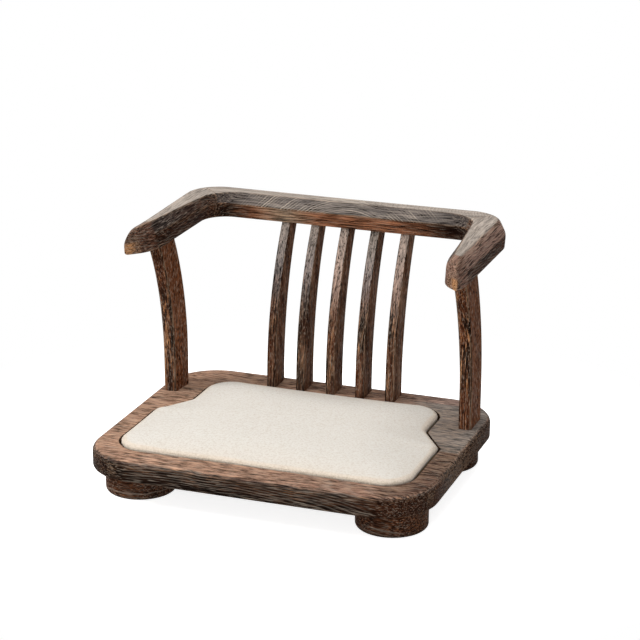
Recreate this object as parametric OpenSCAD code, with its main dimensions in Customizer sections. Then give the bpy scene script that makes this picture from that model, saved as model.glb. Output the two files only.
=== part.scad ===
// Wooden floor chair: a low seat on four round feet, with a slatted back,
// two curved arm posts and one faceted rail that runs round as crest and arms.
// Modules draw the chair with the seat centred on the Z axis and the floor at z = 0.
// Each node is then set back along Y so that the whole chair stands centred on the origin.

/* [Seat] */
// Width of the seat across the chair
seat_w = 500; // [470:1:560]
// Depth of the seat from front to back
seat_d = 400; // [380:1:450]
// Thickness of the seat boards
seat_t = 30; // [28:1:40]
// Radius of the seat's corners in plan
seat_corner_r = 78; // [50:1:85]
// Rounding of the seat's upper edge
seat_top_round = 9; // [4:0.5:11]
// Rounding of the seat's lower edge
seat_bottom_round = 3; // [1:0.5:6]
// Depth of the front board, front to back
front_board_d = 143; // [110:1:165]
// Depth of the middle strip, front to back
middle_board_d = 44; // [30:1:60]
// Depth of the recess that holds the cushion
recess_depth = 12; // [8:0.5:14]
// Gap between the cushion and the recess wall
recess_gap = 1.5; // [0.5:0.5:4]
// Diameter of the dowels in the seat's glued seams
dowel_dia = 8; // [6:1:10]
// Length of the dowels in the seat's glued seams
dowel_len = 36; // [24:2:40]
// Distance between neighbouring dowels along a seam
dowel_pitch = 130; // [80:5:140]

/* [Feet] */
// Diameter of a foot
foot_dia = 100; // [80:1:110]
// Height of a foot
foot_h = 40; // [30:1:60]
// Rounding of a foot's lower edge
foot_bottom_round = 5; // [3:1:14]
// Rounding of a foot's upper edge
foot_top_round = 6; // [2:1:10]
// Distance of the foot centres from the seat's side edges
foot_inset_x = 65; // [60:1:90]
// Distance of the foot centres from the seat's front and rear edges
foot_inset_y = 80; // [66:1:100]
// Distance between the two screws of a foot
foot_screw_pitch = 44; // [34:1:54]

/* [Cushion] */
// Margin of bare seat beside the cushion's front half
cushion_side_margin = 34; // [28:1:60]
// Gap between the cushion's rear lobe and the arm posts
cushion_post_gap = 32.5; // [20:0.5:50]
// Margin of bare seat in front of the cushion
cushion_front_margin = 43; // [35:1:60]
// Gap between the cushion's rear edge and the feet of the slats
cushion_slat_gap = 2; // [1:0.5:6]
// Length of the cushion's straight stretch in front of its notch
cushion_wide_len = 153; // [130:1:165]
// Length of the slanted side from the wide part to the rear lobe
cushion_notch_len = 54; // [40:1:62]
// Radius of the cushion's front corners
cushion_front_r = 45; // [30:1:60]
// Radius of the cushion's rear corners
cushion_rear_r = 42; // [25:1:50]
// Radius at both ends of the slanted side
cushion_notch_r = 12; // [8:1:16]
// How far the long edges are drawn in between their corners
cushion_draw = 2.5; // [0:0.5:5]
// Height of the cushion's shoulder over the seat
cushion_shoulder = 7.5; // [4:0.5:12]
// Height of the cushion's crown over its shoulder
cushion_crown = 8.5; // [4:0.5:14]
// Width of the rounded roll along the cushion's edge
cushion_roll = 11; // [6:0.5:14]
// Thickness of the board under the cushion
cushion_board_t = 4; // [3:0.5:6]
// Inset of that board from the cushion's outline
cushion_board_inset = 5; // [3:1:10]
// Distance between the cushion's screws across the chair
cushion_screw_pitch_x = 260; // [160:10:280]
// Distance between the cushion's screws from front to back
cushion_screw_pitch_y = 170; // [120:10:190]

/* [Back] */
// Height of the whole chair
chair_h = 348; // [330:1:390]
// Width of a back slat
slat_w = 14; // [10:0.5:18]
// Distance between neighbouring slats
slat_pitch = 46.2; // [38:0.1:50]
// Distance from the seat's rear edge to the slats' front edge, at its foot
slat_inset = 53; // [50:0.5:60]
// Depth of a slat at its foot
slat_foot_depth = 38.5; // [34:0.5:42]
// Radius of the slats' front edge
slat_front_r = 430; // [400:5:520]
// Radius of the slats' rear edge
slat_rear_r = 482; // [460:2:560]
// Height over the seat at which the slats stand upright
slat_upright_h = 10; // [0:1:30]
// Chamfer along a slat's edges
slat_chamfer = 1.2; // [0.5:0.1:2]

/* [Arm posts] */
// Inset of a post's outer face from the seat's side edge
post_inset_x = 14; // [12:0.5:24]
// Width of a post's front face
post_front_w = 18.5; // [14:0.5:20]
// Width of a post near its rear edge
post_rear_w = 23; // [18:0.5:25]
// Depth of a post
post_depth = 52; // [44:1:58]
// Slant of a post's rear face
post_rear_slant = 12; // [4:1:16]
// Distance from the seat's rear edge to a post's front face, at its foot
post_inset_y = 121; // [114:1:130]
// Radius of a post's front face
post_r = 390; // [340:5:480]
// Height over the seat up to which a post is straight
post_straight_h = 50; // [30:1:70]
// Chamfer along a post's edges
post_chamfer = 2.5; // [1:0.5:4]

/* [Rail] */
// Thickness of the rail at its inner edge
rail_t = 39.5; // [36:0.5:48]
// How much thicker the rail is at its outer edge
rail_under_slope = 4; // [0:0.5:6]
// Depth of the crest rail's flat top
crest_top_d = 24; // [20:1:32]
// How far the front crease stands out from the flat top
crest_front_bulge = 15; // [8:0.5:18]
// Depth from the front crease to the rear crease of the crest rail
crest_depth = 55; // [50:1:60]
// How far the lower edges draw back from the rear crease
rail_rear_tuck = 1.5; // [1:0.5:6]
// Drop from the top to the inner crease
inner_crease_drop = 15; // [10:0.5:20]
// Drop from the top to the outer crease
outer_crease_drop = 23; // [16:0.5:28]
// Inset of an arm's outer crease from the seat's side edge
arm_inset = 4; // [1:0.5:10]
// Inset of the arm's flat top from its outer crease
arm_top_inset = 8; // [3:0.5:12]
// Width of the arm's flat top beside the seat's centre
arm_top_w = 12; // [10:0.5:20]
// Width gained by the flat top for each unit towards the crest
arm_top_taper = 0.124; // [0.05:0.002:0.14]
// Drop of the arm's outer top edge from the corner to the nose
arm_dip = 4; // [0:0.5:6]
// Width of the arm's flat underside and outer tuck together
arm_under_w = 36; // [32:0.5:44]
// Distance from the outer crease to the inner crease beside the seat's centre
arm_crease_w = 33.5; // [30:0.5:38]
// Width gained there for each unit towards the crest
arm_crease_taper = 0.079; // [0.03:0.001:0.1]
// How far the arms reach in front of the seat's centre
arm_reach = 34; // [20:1:80]
// Length over which the nose's inner side is curved
nose_side_len = 82; // [60:1:100]
// Length over which the nose's top is rounded
nose_top_len = 24; // [14:1:40]
// Height of the nose's small end face
nose_face_h = 15.5; // [12:0.5:18]
// Width of the nose's small end face
nose_face_w = 18.5; // [12:0.5:22]
// Turn of the end face from facing forwards to facing the other arm
nose_face_turn = 49; // [20:1:55]
// Inset of the end face from the outer crease
nose_tuck = 3.5; // [1:0.5:6]
// Drop from the rail's top to the end face
nose_drop = 22; // [16:0.5:23]
// Width of the bevel over the end face
nose_bevel = 1.5; // [0.5:0.5:3]
// Corner radius of the rail's outer top edge
corner_outer_r = 46; // [38:1:60]
// Corner radius of the rail's inner top edge
corner_inner_r = 50; // [36:1:60]
// Corner radius of the rail's inner crease
corner_crease_r = 30; // [24:1:40]
// Corner radius of the underside's inner edge
corner_under_r = 38; // [28:1:50]

/* [Joints] */
// Clearance round a tenon in its mortise
joint_clearance = 0.2; // [0.1:0.05:0.5]
// Space past the end of a tenon
tenon_end_gap = 1; // [0.5:0.5:3]
// Depth of the tenons in the seat
seat_tenon_len = 16; // [10:1:20]
// Depth of the tenons in the rail
rail_tenon_len = 19; // [12:1:24]
// Shoulder round a slat's tenon, front and rear
slat_shoulder = 6; // [4:0.5:8]
// Shoulder beside a slat's tenon
slat_cheek = 2.5; // [1.5:0.5:4]
// Shoulder round a post's tenon, front and rear
post_shoulder = 11; // [8:1:14]
// Thickness of a post's tenon
post_tenon_t = 12; // [8:1:14]
// Length of the loose tenon across a mitre
mitre_tenon_len = 36; // [24:2:40]
// Width of the loose tenon across a mitre
mitre_tenon_w = 18; // [12:1:20]
// Thickness of the loose tenon across a mitre
mitre_tenon_t = 8; // [6:1:10]

/* [Screws] */
// Diameter of the screw shanks
screw_dia = 5; // [4:0.5:6]
// Diameter of the screw heads
screw_head_dia = 10; // [8:0.5:11]
// Height of the screw heads
screw_head_h = 3.5; // [2.5:0.5:5]
// Width across the corners of the socket in a screw head
screw_socket = 4.6; // [3:0.2:5]
// Depth of that socket
screw_socket_depth = 2; // [1.5:0.1:2.2]
// Length of a foot screw under its head
foot_screw_len = 38; // [30:1:42]
// Depth of the counterbore under a foot
foot_counterbore = 16; // [12:1:22]
// Depth of the counterbore under the seat
seat_counterbore = 6; // [4:0.5:8]
// Clearance of a head in its counterbore
head_clearance = 1; // [0.5:0.5:2]
// Clearance of a shank in its hole
shank_clearance = 0.15; // [0.05:0.05:0.5]

/* [Colours] */
// Walnut brown of the seat and rails
wood_colour = "#4a3024";
// Darker brown of posts and slats
dark_wood_colour = "#3a251b";
// Off-white linen of the cushion
linen_colour = "#e9e4da";
// Pale birch of the hidden board, dowels and tenons
birch_colour = "#d9bf93";
// Zinc of the screws
zinc_colour = "#b9bcbf";

/* [Hidden] */

// Smoothness of round forms, and the number of steps along computed curves
$fn = 96;
curve_steps = 8;
corner_steps = 12;
nose_steps = 12;
// Oversize of cutting shapes, so that they pass right through
cut_over = 1;
// Size of the blocks that cut half-spaces away
far = 1000;

// Heights
seat_top = foot_h + seat_t;
recess_floor = seat_top - recess_depth;
cushion_base = recess_floor + cushion_board_t;
rail_top = chair_h;
rail_inner_bottom = rail_top - rail_t;
rail_outer_bottom = rail_inner_bottom - rail_under_slope;

// Places that follow the seat's edges
slat_front_y = seat_d / 2 - slat_inset;
post_front_y = seat_d / 2 - post_inset_y;
post_outer_x = seat_w / 2 - post_inset_x;
arm_outer_x = seat_w / 2 - arm_inset;
cushion_w = seat_w - 2 * cushion_side_margin;
cushion_rear_w = 2 * (post_outer_x - post_rear_w - cushion_post_gap);

// The crest rail's section along Y
slat_front_centre_y = slat_front_y + slat_front_r;
slat_rear_centre_y = slat_front_y + slat_foot_depth + slat_rear_r;
slat_centre_z = seat_top + slat_upright_h;
function slat_front_at(z) = slat_front_centre_y - sqrt(pow(slat_front_r, 2) - pow(z - slat_centre_z, 2));
function slat_rear_at(z) = slat_rear_centre_y - sqrt(pow(slat_rear_r, 2) - pow(z - slat_centre_z, 2));
// How far the slats' heads stand back from the crest's lower front edge
crest_slat_margin = 6;
// The slats, and the number of the one in the middle
slat_count = 5;
slat_middle = (slat_count + 1) / 2;
crest_bottom_front = slat_front_at(rail_inner_bottom) - crest_slat_margin;
crest_rear = crest_bottom_front + crest_depth - crest_front_bulge;
crest_bottom_rear = crest_rear - rail_rear_tuck;
crest_top_front = crest_bottom_front;
crest_front = crest_top_front - crest_front_bulge;
crest_top_rear = crest_top_front + crest_top_d;

// The chair is set back so that its box is centred on the origin
seat_y = -(crest_rear - seat_d / 2) / 2;

// The nose's end face in plan, from its outer to its inner corner
nose_along = [-cos(nose_face_turn), sin(nose_face_turn)];
nose_outer = [arm_outer_x - nose_tuck, -arm_reach];
nose_inner = nose_outer + nose_face_w * nose_along;
nose_face_top = rail_top - nose_drop;
nose_face_bottom = nose_face_top - nose_face_h;
function nose_tip(corner, slide, z) = let(place = corner + slide * nose_along) [place[0], place[1], z];

// Where the nose's curved inner side and its rounded top begin
nose_side_y = nose_side_len - arm_reach;
nose_top_y = nose_top_len - arm_reach;

// Edges round the rail's section, in order: outer top, outer crease, outer bottom,
// inner bottom, inner crease, inner top. Each holds [x beside the seat's centre, taper along y],
// [y on the crest, corner radius], [height, drop along the arm, start of its rise or fall]
// and the point where it ends at the nose's face.
rail_edges = [
    [
        [arm_outer_x - arm_top_inset, 0],
        [crest_top_rear, corner_outer_r],
        [rail_top, arm_dip, nose_top_y],
        nose_tip(nose_outer, nose_bevel, nose_face_top + nose_bevel)
    ],
    [
        [arm_outer_x, 0],
        [crest_rear, corner_outer_r + arm_top_inset],
        [rail_top - outer_crease_drop, 0, nose_side_y],
        nose_tip(nose_outer, 0, nose_face_top)
    ],
    [
        [arm_outer_x - rail_rear_tuck, 0],
        [crest_bottom_rear, corner_outer_r + arm_top_inset - rail_rear_tuck],
        [rail_outer_bottom, 0, nose_side_y],
        nose_tip(nose_outer, 0, nose_face_bottom)
    ],
    [
        [arm_outer_x - arm_under_w, 0],
        [crest_bottom_front, corner_under_r],
        [rail_inner_bottom, 0, nose_side_y],
        nose_tip(nose_inner, 0, nose_face_bottom)
    ],
    [
        [arm_outer_x - arm_crease_w, arm_crease_taper],
        [crest_front, corner_crease_r],
        [rail_top - inner_crease_drop, 0, nose_side_y],
        nose_tip(nose_inner, 0, nose_face_top)
    ],
    [
        [arm_outer_x - arm_top_inset - arm_top_w, arm_top_taper],
        [crest_top_front, corner_inner_r],
        [rail_top, 0, nose_top_y],
        nose_tip(nose_inner, -nose_bevel, nose_face_top + nose_bevel)
    ]
];
edge_count = len(rail_edges);

// Place of an edge on the straight arm, with the centre and start angle of its corner
arm_back_y = crest_top_rear - corner_outer_r;
function arm_x(edge, y) = edge[0][0] - edge[0][1] * y;
function arm_z(edge, y) = edge[2][0] - edge[2][1] * max(0, arm_back_y - y) / (arm_back_y + arm_reach);
function corner_centre(edge) = let(cy = edge[1][0] - edge[1][1])
    [arm_x(edge, cy) - edge[1][1] * sqrt(1 + pow(edge[0][1], 2)), cy];
function corner_point(edge, share) = let(
    start = atan(edge[0][1]),
    angle = start + (90 - start) * share,
    place = corner_centre(edge) + edge[1][1] * [cos(angle), sin(angle)]
) [place[0], place[1], arm_z(edge, place[1])];

// Place of an edge in the nose, where u runs from 0 at its root to 1 at its end face
function round_off(u) = 1 - sqrt(1 - pow(min(1, max(0, u)), 2));
function nose_point(edge, u) = let(
    tip = edge[3],
    y = nose_side_y + (tip[1] - nose_side_y) * u,
    sideways = (tip[0] - arm_x(edge, tip[1])) * round_off(u),
    fall = (tip[2] - arm_z(edge, tip[1])) * round_off((edge[2][2] - y) / (edge[2][2] - tip[1]))
) [arm_x(edge, y) + sideways, y, arm_z(edge, y) + fall];

// A point or corner on the chair's other side
function mirrored(p) = [-p[0], p[1], p[2]];

// Half of the rail as rings of points, from the right nose to the middle of the crest
half_rings = [
    for (i = [0 : nose_steps - 1]) [for (edge = rail_edges) nose_point(edge, cos(90 * i / nose_steps))],
    [for (edge = rail_edges) nose_point(edge, 0)],
    for (i = [0 : corner_steps]) [for (edge = rail_edges) corner_point(edge, i / corner_steps)]
];
half_count = len(half_rings);
rail_rings = concat(
    half_rings,
    [for (i = [half_count - 1 : -1 : 0]) [for (p = half_rings[i]) mirrored(p)]]
);

// The mitre's plane in plan: x - y = mitre_shift, through the outer corner of the flat top
mitre_shift = arm_x(rail_edges[0], crest_top_rear) - crest_top_rear;
mitre_outer = corner_point(rail_edges[0], 0.5);
mitre_inner = corner_point(rail_edges[3], 0.5);
mitre_mid_sum = (mitre_outer[0] + mitre_outer[1] + mitre_inner[0] + mitre_inner[1]) / 2;
mitre_tenon_x = (mitre_mid_sum + mitre_shift) / 2;
mitre_tenon_y = (mitre_mid_sum - mitre_shift) / 2;
mitre_tenon_z = rail_top - inner_crease_drop - mitre_tenon_t;

// Arm posts: the arc's centre and the post's place where it meets the arm
post_centre_y = post_front_y - post_r;
post_centre_z = seat_top + post_straight_h;
post_top_angle = asin(min(1, (rail_top - post_centre_z) / post_r));
post_top_front = post_centre_y + sqrt(pow(post_r, 2) - pow(rail_inner_bottom - post_centre_z, 2));
post_mid_x = post_outer_x - post_rear_w / 2;

// Feet and screws
foot_x = seat_w / 2 - foot_inset_x;
foot_y = seat_d / 2 - foot_inset_y;
hole_dia = screw_dia + 2 * shank_clearance;
counterbore_dia = screw_head_dia + 2 * head_clearance;
screw_tip_dia = screw_dia / 3;
cushion_screw_len = cushion_base - foot_h - seat_counterbore - cut_over;

// Dowels along one seam, and the wood left from a dowel's end to the middle of the strip
dowel_count = 4;
dowel_cover = 4;

// Places of the seams between the seat's boards
front_seam = -seat_d / 2 + front_board_d;
rear_seam = front_seam + middle_board_d;

// Outline of the cushion: corners as [x, y, radius], counterclockwise from the front right
cushion_front = -seat_d / 2 + cushion_front_margin;
cushion_rear = slat_front_y - cushion_slat_gap;
cushion_wide_end = cushion_front + cushion_wide_len;
cushion_notch_end = cushion_wide_end + cushion_notch_len;
cushion_right_corners = [
    [cushion_w / 2, cushion_front, cushion_front_r],
    [cushion_w / 2, cushion_wide_end, cushion_notch_r],
    [cushion_rear_w / 2, cushion_notch_end, cushion_notch_r],
    [cushion_rear_w / 2, cushion_rear, cushion_rear_r]
];
cushion_corners = concat(
    cushion_right_corners,
    [for (i = [len(cushion_right_corners) - 1 : -1 : 0]) mirrored(cushion_right_corners[i])]
);
function unit(v) = v / norm(v);
function plan(p) = [p[0], p[1]];

// Points of one rounded corner between its neighbours a and b
function fillet_points(a, p, b) = let(
    to_a = unit(plan(a) - plan(p)),
    to_b = unit(plan(b) - plan(p)),
    half = acos(to_a * to_b) / 2,
    reach = p[2] / tan(half),
    centre = plan(p) + unit(to_a + to_b) * p[2] / sin(half),
    from = plan(p) + to_a * reach - centre,
    to = plan(p) + to_b * reach - centre,
    a0 = atan2(from[1], from[0]),
    turn = atan2(from[0] * to[1] - from[1] * to[0], from * to)
) [for (i = [0 : curve_steps]) let(angle = a0 + turn * i / curve_steps)
    centre + p[2] * [cos(angle), sin(angle)]];

// Points between two rounded corners, drawn in towards the cushion's middle along a parabola
edge_points = 5;
function drawn_points(from, to) = let(
    inward = unit([from[1] - to[1], to[0] - from[0]]),
    bow = cushion_draw * min(1, norm(to - from) / cushion_rear_w)
) [for (i = [1 : edge_points - 1]) let(u = i / edge_points)
    from + (to - from) * u + inward * bow * 4 * u * (1 - u)];
corner_total = len(cushion_corners);
cushion_arcs = [for (i = [0 : corner_total - 1]) fillet_points(
    cushion_corners[(i + corner_total - 1) % corner_total],
    cushion_corners[i],
    cushion_corners[(i + 1) % corner_total])];
cushion_outline = [for (i = [0 : corner_total - 1]) each concat(
    cushion_arcs[i],
    drawn_points(cushion_arcs[i][curve_steps], cushion_arcs[(i + 1) % corner_total][0]))];
outline_count = len(cushion_outline);

// The outline moved outwards by a distance, or inwards by a negative one
function moved_outline(d) = [for (i = [0 : outline_count - 1]) let(
    before = cushion_outline[(i + outline_count - 1) % outline_count],
    along = cushion_outline[(i + 1) % outline_count] - before
) cushion_outline[i] + d * unit([along[1], -along[0]])];

// The cushion's rings from its underside over the rolled edge to the crown
cushion_middle = [0, (cushion_front + cushion_rear) / 2];
roll_inner = moved_outline(-cushion_roll);
// Number of rings over the crown, and how flat it is in the middle
crown_rings = 4;
crown_power = 2.5;
// Angle between two rings of the rolled edge
roll_step = 30;
// How far the cushion's side draws in below the seat's top
cushion_under_tuck = 1;
shoulder_z = seat_top + cushion_shoulder;
cushion_rings = concat(
    [[for (p = moved_outline(-cushion_board_inset)) [p[0], p[1], cushion_base]]],
    [[for (p = moved_outline(-cushion_under_tuck)) [p[0], p[1], (cushion_base + seat_top) / 2]]],
    [for (a = [0 : roll_step : 90]) [for (p = moved_outline(-cushion_roll * (1 - cos(a))))
        [p[0], p[1], seat_top - cut_over + (cushion_shoulder + cut_over) * sin(a)]]],
    [for (i = [1 : crown_rings]) let(s = 1 - i / (crown_rings + 1)) [for (p = roll_inner)
        let(q = cushion_middle + (p - cushion_middle) * s)
        [q[0], q[1], shoulder_z + cushion_crown * (1 - pow(s, crown_power))]]]
);

// Faces of a closed skin over rings of equal length, capped at both ends
function skin_faces(rings, count) = let(last = (rings - 1) * count) concat(
    [[for (k = [0 : count - 1]) k]],
    [for (i = [0 : rings - 2], k = [0 : count - 1]) let(n = (k + 1) % count)
        [i * count + k, (i + 1) * count + k, (i + 1) * count + n]],
    [for (i = [0 : rings - 2], k = [0 : count - 1]) let(n = (k + 1) % count)
        [i * count + k, (i + 1) * count + n, i * count + n]],
    [[for (k = [count - 1 : -1 : 0]) last + k]]
);

// A section's corners cut off at distance c
function chamfered(points, c) = let(n = len(points)) [for (i = [0 : n - 1]) let(
    p = points[i], a = points[(i + n - 1) % n], b = points[(i + 1) % n]
) each [p + c * unit(a - p), p + c * unit(b - p)]];

// Puts a piece where the chair stands on the origin
module in_place() {
    translate([0, seat_y, 0]) children();
}

// Turns a shape drawn round Z so that its axis lies along X and its radius along Y
module along_x() {
    rotate([90, 0, 90]) children();
}

// Everything over the rail's sloping underside, on the right arm and on the crest
module over_arm_underside() {
    slope = atan(rail_under_slope / (arm_under_w - rail_rear_tuck));
    translate([arm_outer_x - arm_under_w, 0, rail_inner_bottom])
        rotate([0, slope, 0])
            translate([-far / 2, -far / 2, 0])
                cube(far);
}

module over_crest_underside() {
    slope = atan(rail_under_slope / (crest_bottom_rear - crest_bottom_front));
    translate([0, crest_bottom_front, rail_inner_bottom])
        rotate([-slope, 0, 0])
            translate([-far / 2, -far / 2, 0])
                cube(far);
}

// Half of the seat's edge section, from its middle out to reach
module edge_section(reach) {
    square([reach - seat_top_round, seat_t]);
    square([reach - seat_bottom_round, seat_t - seat_top_round]);
    translate([0, seat_bottom_round])
        square([reach, seat_t - seat_top_round - seat_bottom_round]);
    translate([reach - seat_top_round, seat_t - seat_top_round])
        circle(seat_top_round);
    translate([reach - seat_bottom_round, seat_bottom_round])
        circle(seat_bottom_round);
}

// One quarter of the seat's outline, turned solid at its corner
module seat_corner() {
    translate([seat_w / 2 - seat_corner_r, seat_d / 2 - seat_corner_r, 0])
        rotate_extrude(angle = 90)
            edge_section(seat_corner_r);
}

// The straight stretch of the seat's edge that faces +X, over a given length
module seat_side(half_width, length) {
    translate([0, length / 2, 0])
        rotate([90, 0, 0])
            linear_extrude(length)
                edge_section(half_width);
}

module seat_blank() {
    translate([0, 0, foot_h]) {
        for (sx = [0, 1], sy = [0, 1])
            mirror([sx, 0, 0]) mirror([0, sy, 0]) seat_corner();
        for (side = [0, 180])
            rotate(side) seat_side(seat_w / 2, seat_d - 2 * seat_corner_r);
        for (side = [90, 270])
            rotate(side) seat_side(seat_d / 2, seat_w - 2 * seat_corner_r);
    }
}

module cushion_recess() {
    translate([0, 0, recess_floor])
        linear_extrude(recess_depth + cut_over)
            polygon(moved_outline(recess_gap));
}

// Seat holes: dowels in the seams, screws from below, mortises for slats and posts
module dowels(extra_r, extra_len) {
    length = min(dowel_len, middle_board_d - 2 * dowel_cover) + extra_len;
    for (seam = [front_seam, rear_seam], i = [0 : dowel_count - 1])
        translate([(i - (dowel_count - 1) / 2) * dowel_pitch, seam, (foot_h + recess_floor) / 2])
            rotate([90, 0, 0])
                cylinder(h = length, r = dowel_dia / 2 + extra_r, center = true);
}

module screw_hole(length, counterbore) {
    translate([0, 0, -cut_over])
        cylinder(h = length + cut_over, d = hole_dia);
    translate([0, 0, -cut_over])
        cylinder(h = counterbore + cut_over, d = counterbore_dia);
}

module screw(length) {
    difference() {
        union() {
            translate([0, 0, -screw_head_h])
                cylinder(h = screw_head_h, d = screw_head_dia);
            cylinder(h = length - screw_dia / 2, d = screw_dia);
            translate([0, 0, length - screw_dia / 2])
                cylinder(h = screw_dia / 2, d1 = screw_dia, d2 = screw_tip_dia);
        }
        translate([0, 0, -screw_head_h - cut_over])
            cylinder(h = screw_socket_depth + cut_over, d = screw_socket, $fn = 6);
    }
}

module at_cushion_screws() {
    for (sx = [-1, 1], sy = [-1, 1])
        translate([sx * cushion_screw_pitch_x / 2, cushion_middle[1] + sy * cushion_screw_pitch_y / 2, 0])
            children();
}

module at_feet() {
    for (sx = [-1, 1], sy = [-1, 1])
        translate([sx * foot_x, sy * foot_y, 0])
            children();
}

module at_foot_screws() {
    for (side = [-1, 1])
        translate([side * foot_screw_pitch / 2, 0, 0])
            children();
}

module at_slats() {
    for (i = [1 : slat_count])
        translate([(i - slat_middle) * slat_pitch, 0, 0])
            children();
}

// Tenons: grow widens them into their mortises
module slat_foot_tenon(grow, end) {
    width = slat_w - 2 * slat_cheek + 2 * grow;
    depth = slat_foot_depth - 2 * slat_shoulder + 2 * grow;
    translate([-width / 2, slat_front_y + slat_shoulder - grow, seat_top - seat_tenon_len - end])
        cube([width, depth, seat_tenon_len + end + cut_over]);
}

module slat_head_tenon(grow, end) {
    head_front = slat_front_at(rail_inner_bottom) + slat_shoulder;
    head_rear = slat_rear_at(rail_outer_bottom) - slat_shoulder;
    width = slat_w - 2 * slat_cheek + 2 * grow;
    depth = head_rear - head_front + 2 * grow;
    translate([-width / 2, head_front - grow, rail_outer_bottom - slat_shoulder])
        cube([width, depth, slat_shoulder + rail_under_slope + rail_tenon_len + end]);
}

module post_foot_tenon(grow, end) {
    translate([
        post_mid_x - post_tenon_t / 2 - grow,
        post_front_y + post_shoulder - grow,
        seat_top - seat_tenon_len - end
    ])
        cube([
            post_tenon_t + 2 * grow,
            post_depth - post_rear_slant / 2 - 2 * post_shoulder + 2 * grow,
            seat_tenon_len + end + cut_over
        ]);
}

module post_head_tenon(grow, end) {
    translate([
        post_mid_x - post_tenon_t / 2 - grow,
        post_top_front + post_shoulder - grow,
        rail_outer_bottom - post_shoulder
    ])
        cube([
            post_tenon_t + 2 * grow,
            post_depth - 2 * post_shoulder + 2 * grow,
            post_shoulder + rail_under_slope + rail_tenon_len + end
        ]);
}

module mitre_tenon_block(grow, end) {
    size = [mitre_tenon_len + 2 * end, mitre_tenon_w + 2 * grow, mitre_tenon_t + 2 * grow];
    translate([mitre_tenon_x, mitre_tenon_y, mitre_tenon_z])
        rotate([0, 0, -45])
            cube(size, center = true);
}

// The seat with its recess, mortises and holes, before it is parted into boards
module seat_worked() {
    difference() {
        seat_blank();
        cushion_recess();
        dowels(joint_clearance / 2, 2 * tenon_end_gap);
        at_cushion_screws()
            translate([0, 0, foot_h])
                screw_hole(seat_t + cut_over, seat_counterbore);
        at_feet() at_foot_screws()
            translate([0, 0, foot_h])
                cylinder(h = foot_screw_len + foot_counterbore - foot_h + tenon_end_gap, d = hole_dia);
        at_slats() slat_foot_tenon(joint_clearance, tenon_end_gap);
        for (side = [0, 1])
            mirror([side, 0, 0]) post_foot_tenon(joint_clearance, tenon_end_gap);
    }
}

module seat_slice(from, to) {
    color(wood_colour)
        in_place()
            intersection() {
                seat_worked();
                translate([-far / 2, from, 0])
                    cube([far, to - from, far]);
            }
}

module seat_front_board() {
    seat_slice(-far / 2, front_seam);
}

module seat_middle_board() {
    seat_slice(front_seam, rear_seam);
}

module seat_rear_board() {
    seat_slice(rear_seam, far / 2);
}

module seat_dowels() {
    color(birch_colour)
        in_place() dowels(0, 0);
}

module cushion() {
    color(linen_colour)
        in_place()
            polyhedron(
                points = [for (ring = cushion_rings) each ring],
                faces = skin_faces(len(cushion_rings), outline_count),
                convexity = 4
            );
}

module cushion_board() {
    color(birch_colour)
        in_place()
            difference() {
                translate([0, 0, recess_floor])
                    linear_extrude(cushion_board_t)
                        polygon(moved_outline(-cushion_board_inset));
                at_cushion_screws()
                    translate([0, 0, recess_floor - cut_over])
                        cylinder(h = cushion_board_t + 2 * cut_over, d = hole_dia);
            }
}

module cushion_screws() {
    color(zinc_colour)
        in_place()
            at_cushion_screws()
                translate([0, 0, foot_h + seat_counterbore])
                    screw(cushion_screw_len);
}

// Section of a foot, turned about its own axis
module foot_section() {
    foot_r = foot_dia / 2;
    square([foot_r - foot_bottom_round, foot_h]);
    translate([foot_r - foot_bottom_round, foot_bottom_round])
        circle(foot_bottom_round);
    translate([0, foot_bottom_round])
        square([foot_r, foot_h - foot_bottom_round - foot_top_round]);
    translate([0, foot_bottom_round])
        square([foot_r - foot_top_round, foot_h - foot_bottom_round]);
    translate([foot_r - foot_top_round, foot_h - foot_top_round])
        circle(foot_top_round);
}

module foot(sx, sy) {
    color(wood_colour)
        in_place()
            translate([sx * foot_x, sy * foot_y, 0])
                difference() {
                    rotate_extrude() foot_section();
                    at_foot_screws() screw_hole(foot_h + cut_over, foot_counterbore);
                }
}

module foot_screws() {
    color(zinc_colour)
        in_place()
            at_feet() at_foot_screws()
                translate([0, 0, foot_counterbore])
                    screw(foot_screw_len);
}

// Section of the right post as [place behind its front face, x]
post_section = chamfered([
    [0, post_outer_x - post_front_w],
    [post_depth - post_rear_slant, post_outer_x - post_rear_w],
    [post_depth, post_outer_x],
    [0, post_outer_x]
], post_chamfer);

module right_post_blank() {
    translate([0, post_front_y, seat_top])
        straight_post(post_straight_h);
    translate([0, post_centre_y, post_centre_z])
        along_x()
            rotate_extrude(angle = post_top_angle)
                polygon([for (p = post_section) [post_r + p[0], p[1]]]);
}

// The post's section standing upright on the seat
module straight_post(height) {
    linear_extrude(height)
        polygon([for (p = post_section) [p[1], p[0]]]);
}

module arm_post(side) {
    color(dark_wood_colour)
        in_place()
            mirror([side, 0, 0]) {
                difference() {
                    right_post_blank();
                    over_arm_underside();
                }
                post_foot_tenon(0, 0);
                post_head_tenon(0, 0);
            }
}

// Slats: a disc with chamfered rim gives the front edge, a grooved disc cuts the rear edge
module slat_front_disc() {
    translate([0, slat_front_centre_y, slat_centre_z])
        along_x()
            rotate_extrude($fn = 180)
                polygon([
                    [0, -slat_w / 2],
                    [slat_front_r - slat_chamfer, -slat_w / 2],
                    [slat_front_r, -slat_w / 2 + slat_chamfer],
                    [slat_front_r, slat_w / 2 - slat_chamfer],
                    [slat_front_r - slat_chamfer, slat_w / 2],
                    [0, slat_w / 2]
                ]);
}

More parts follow.
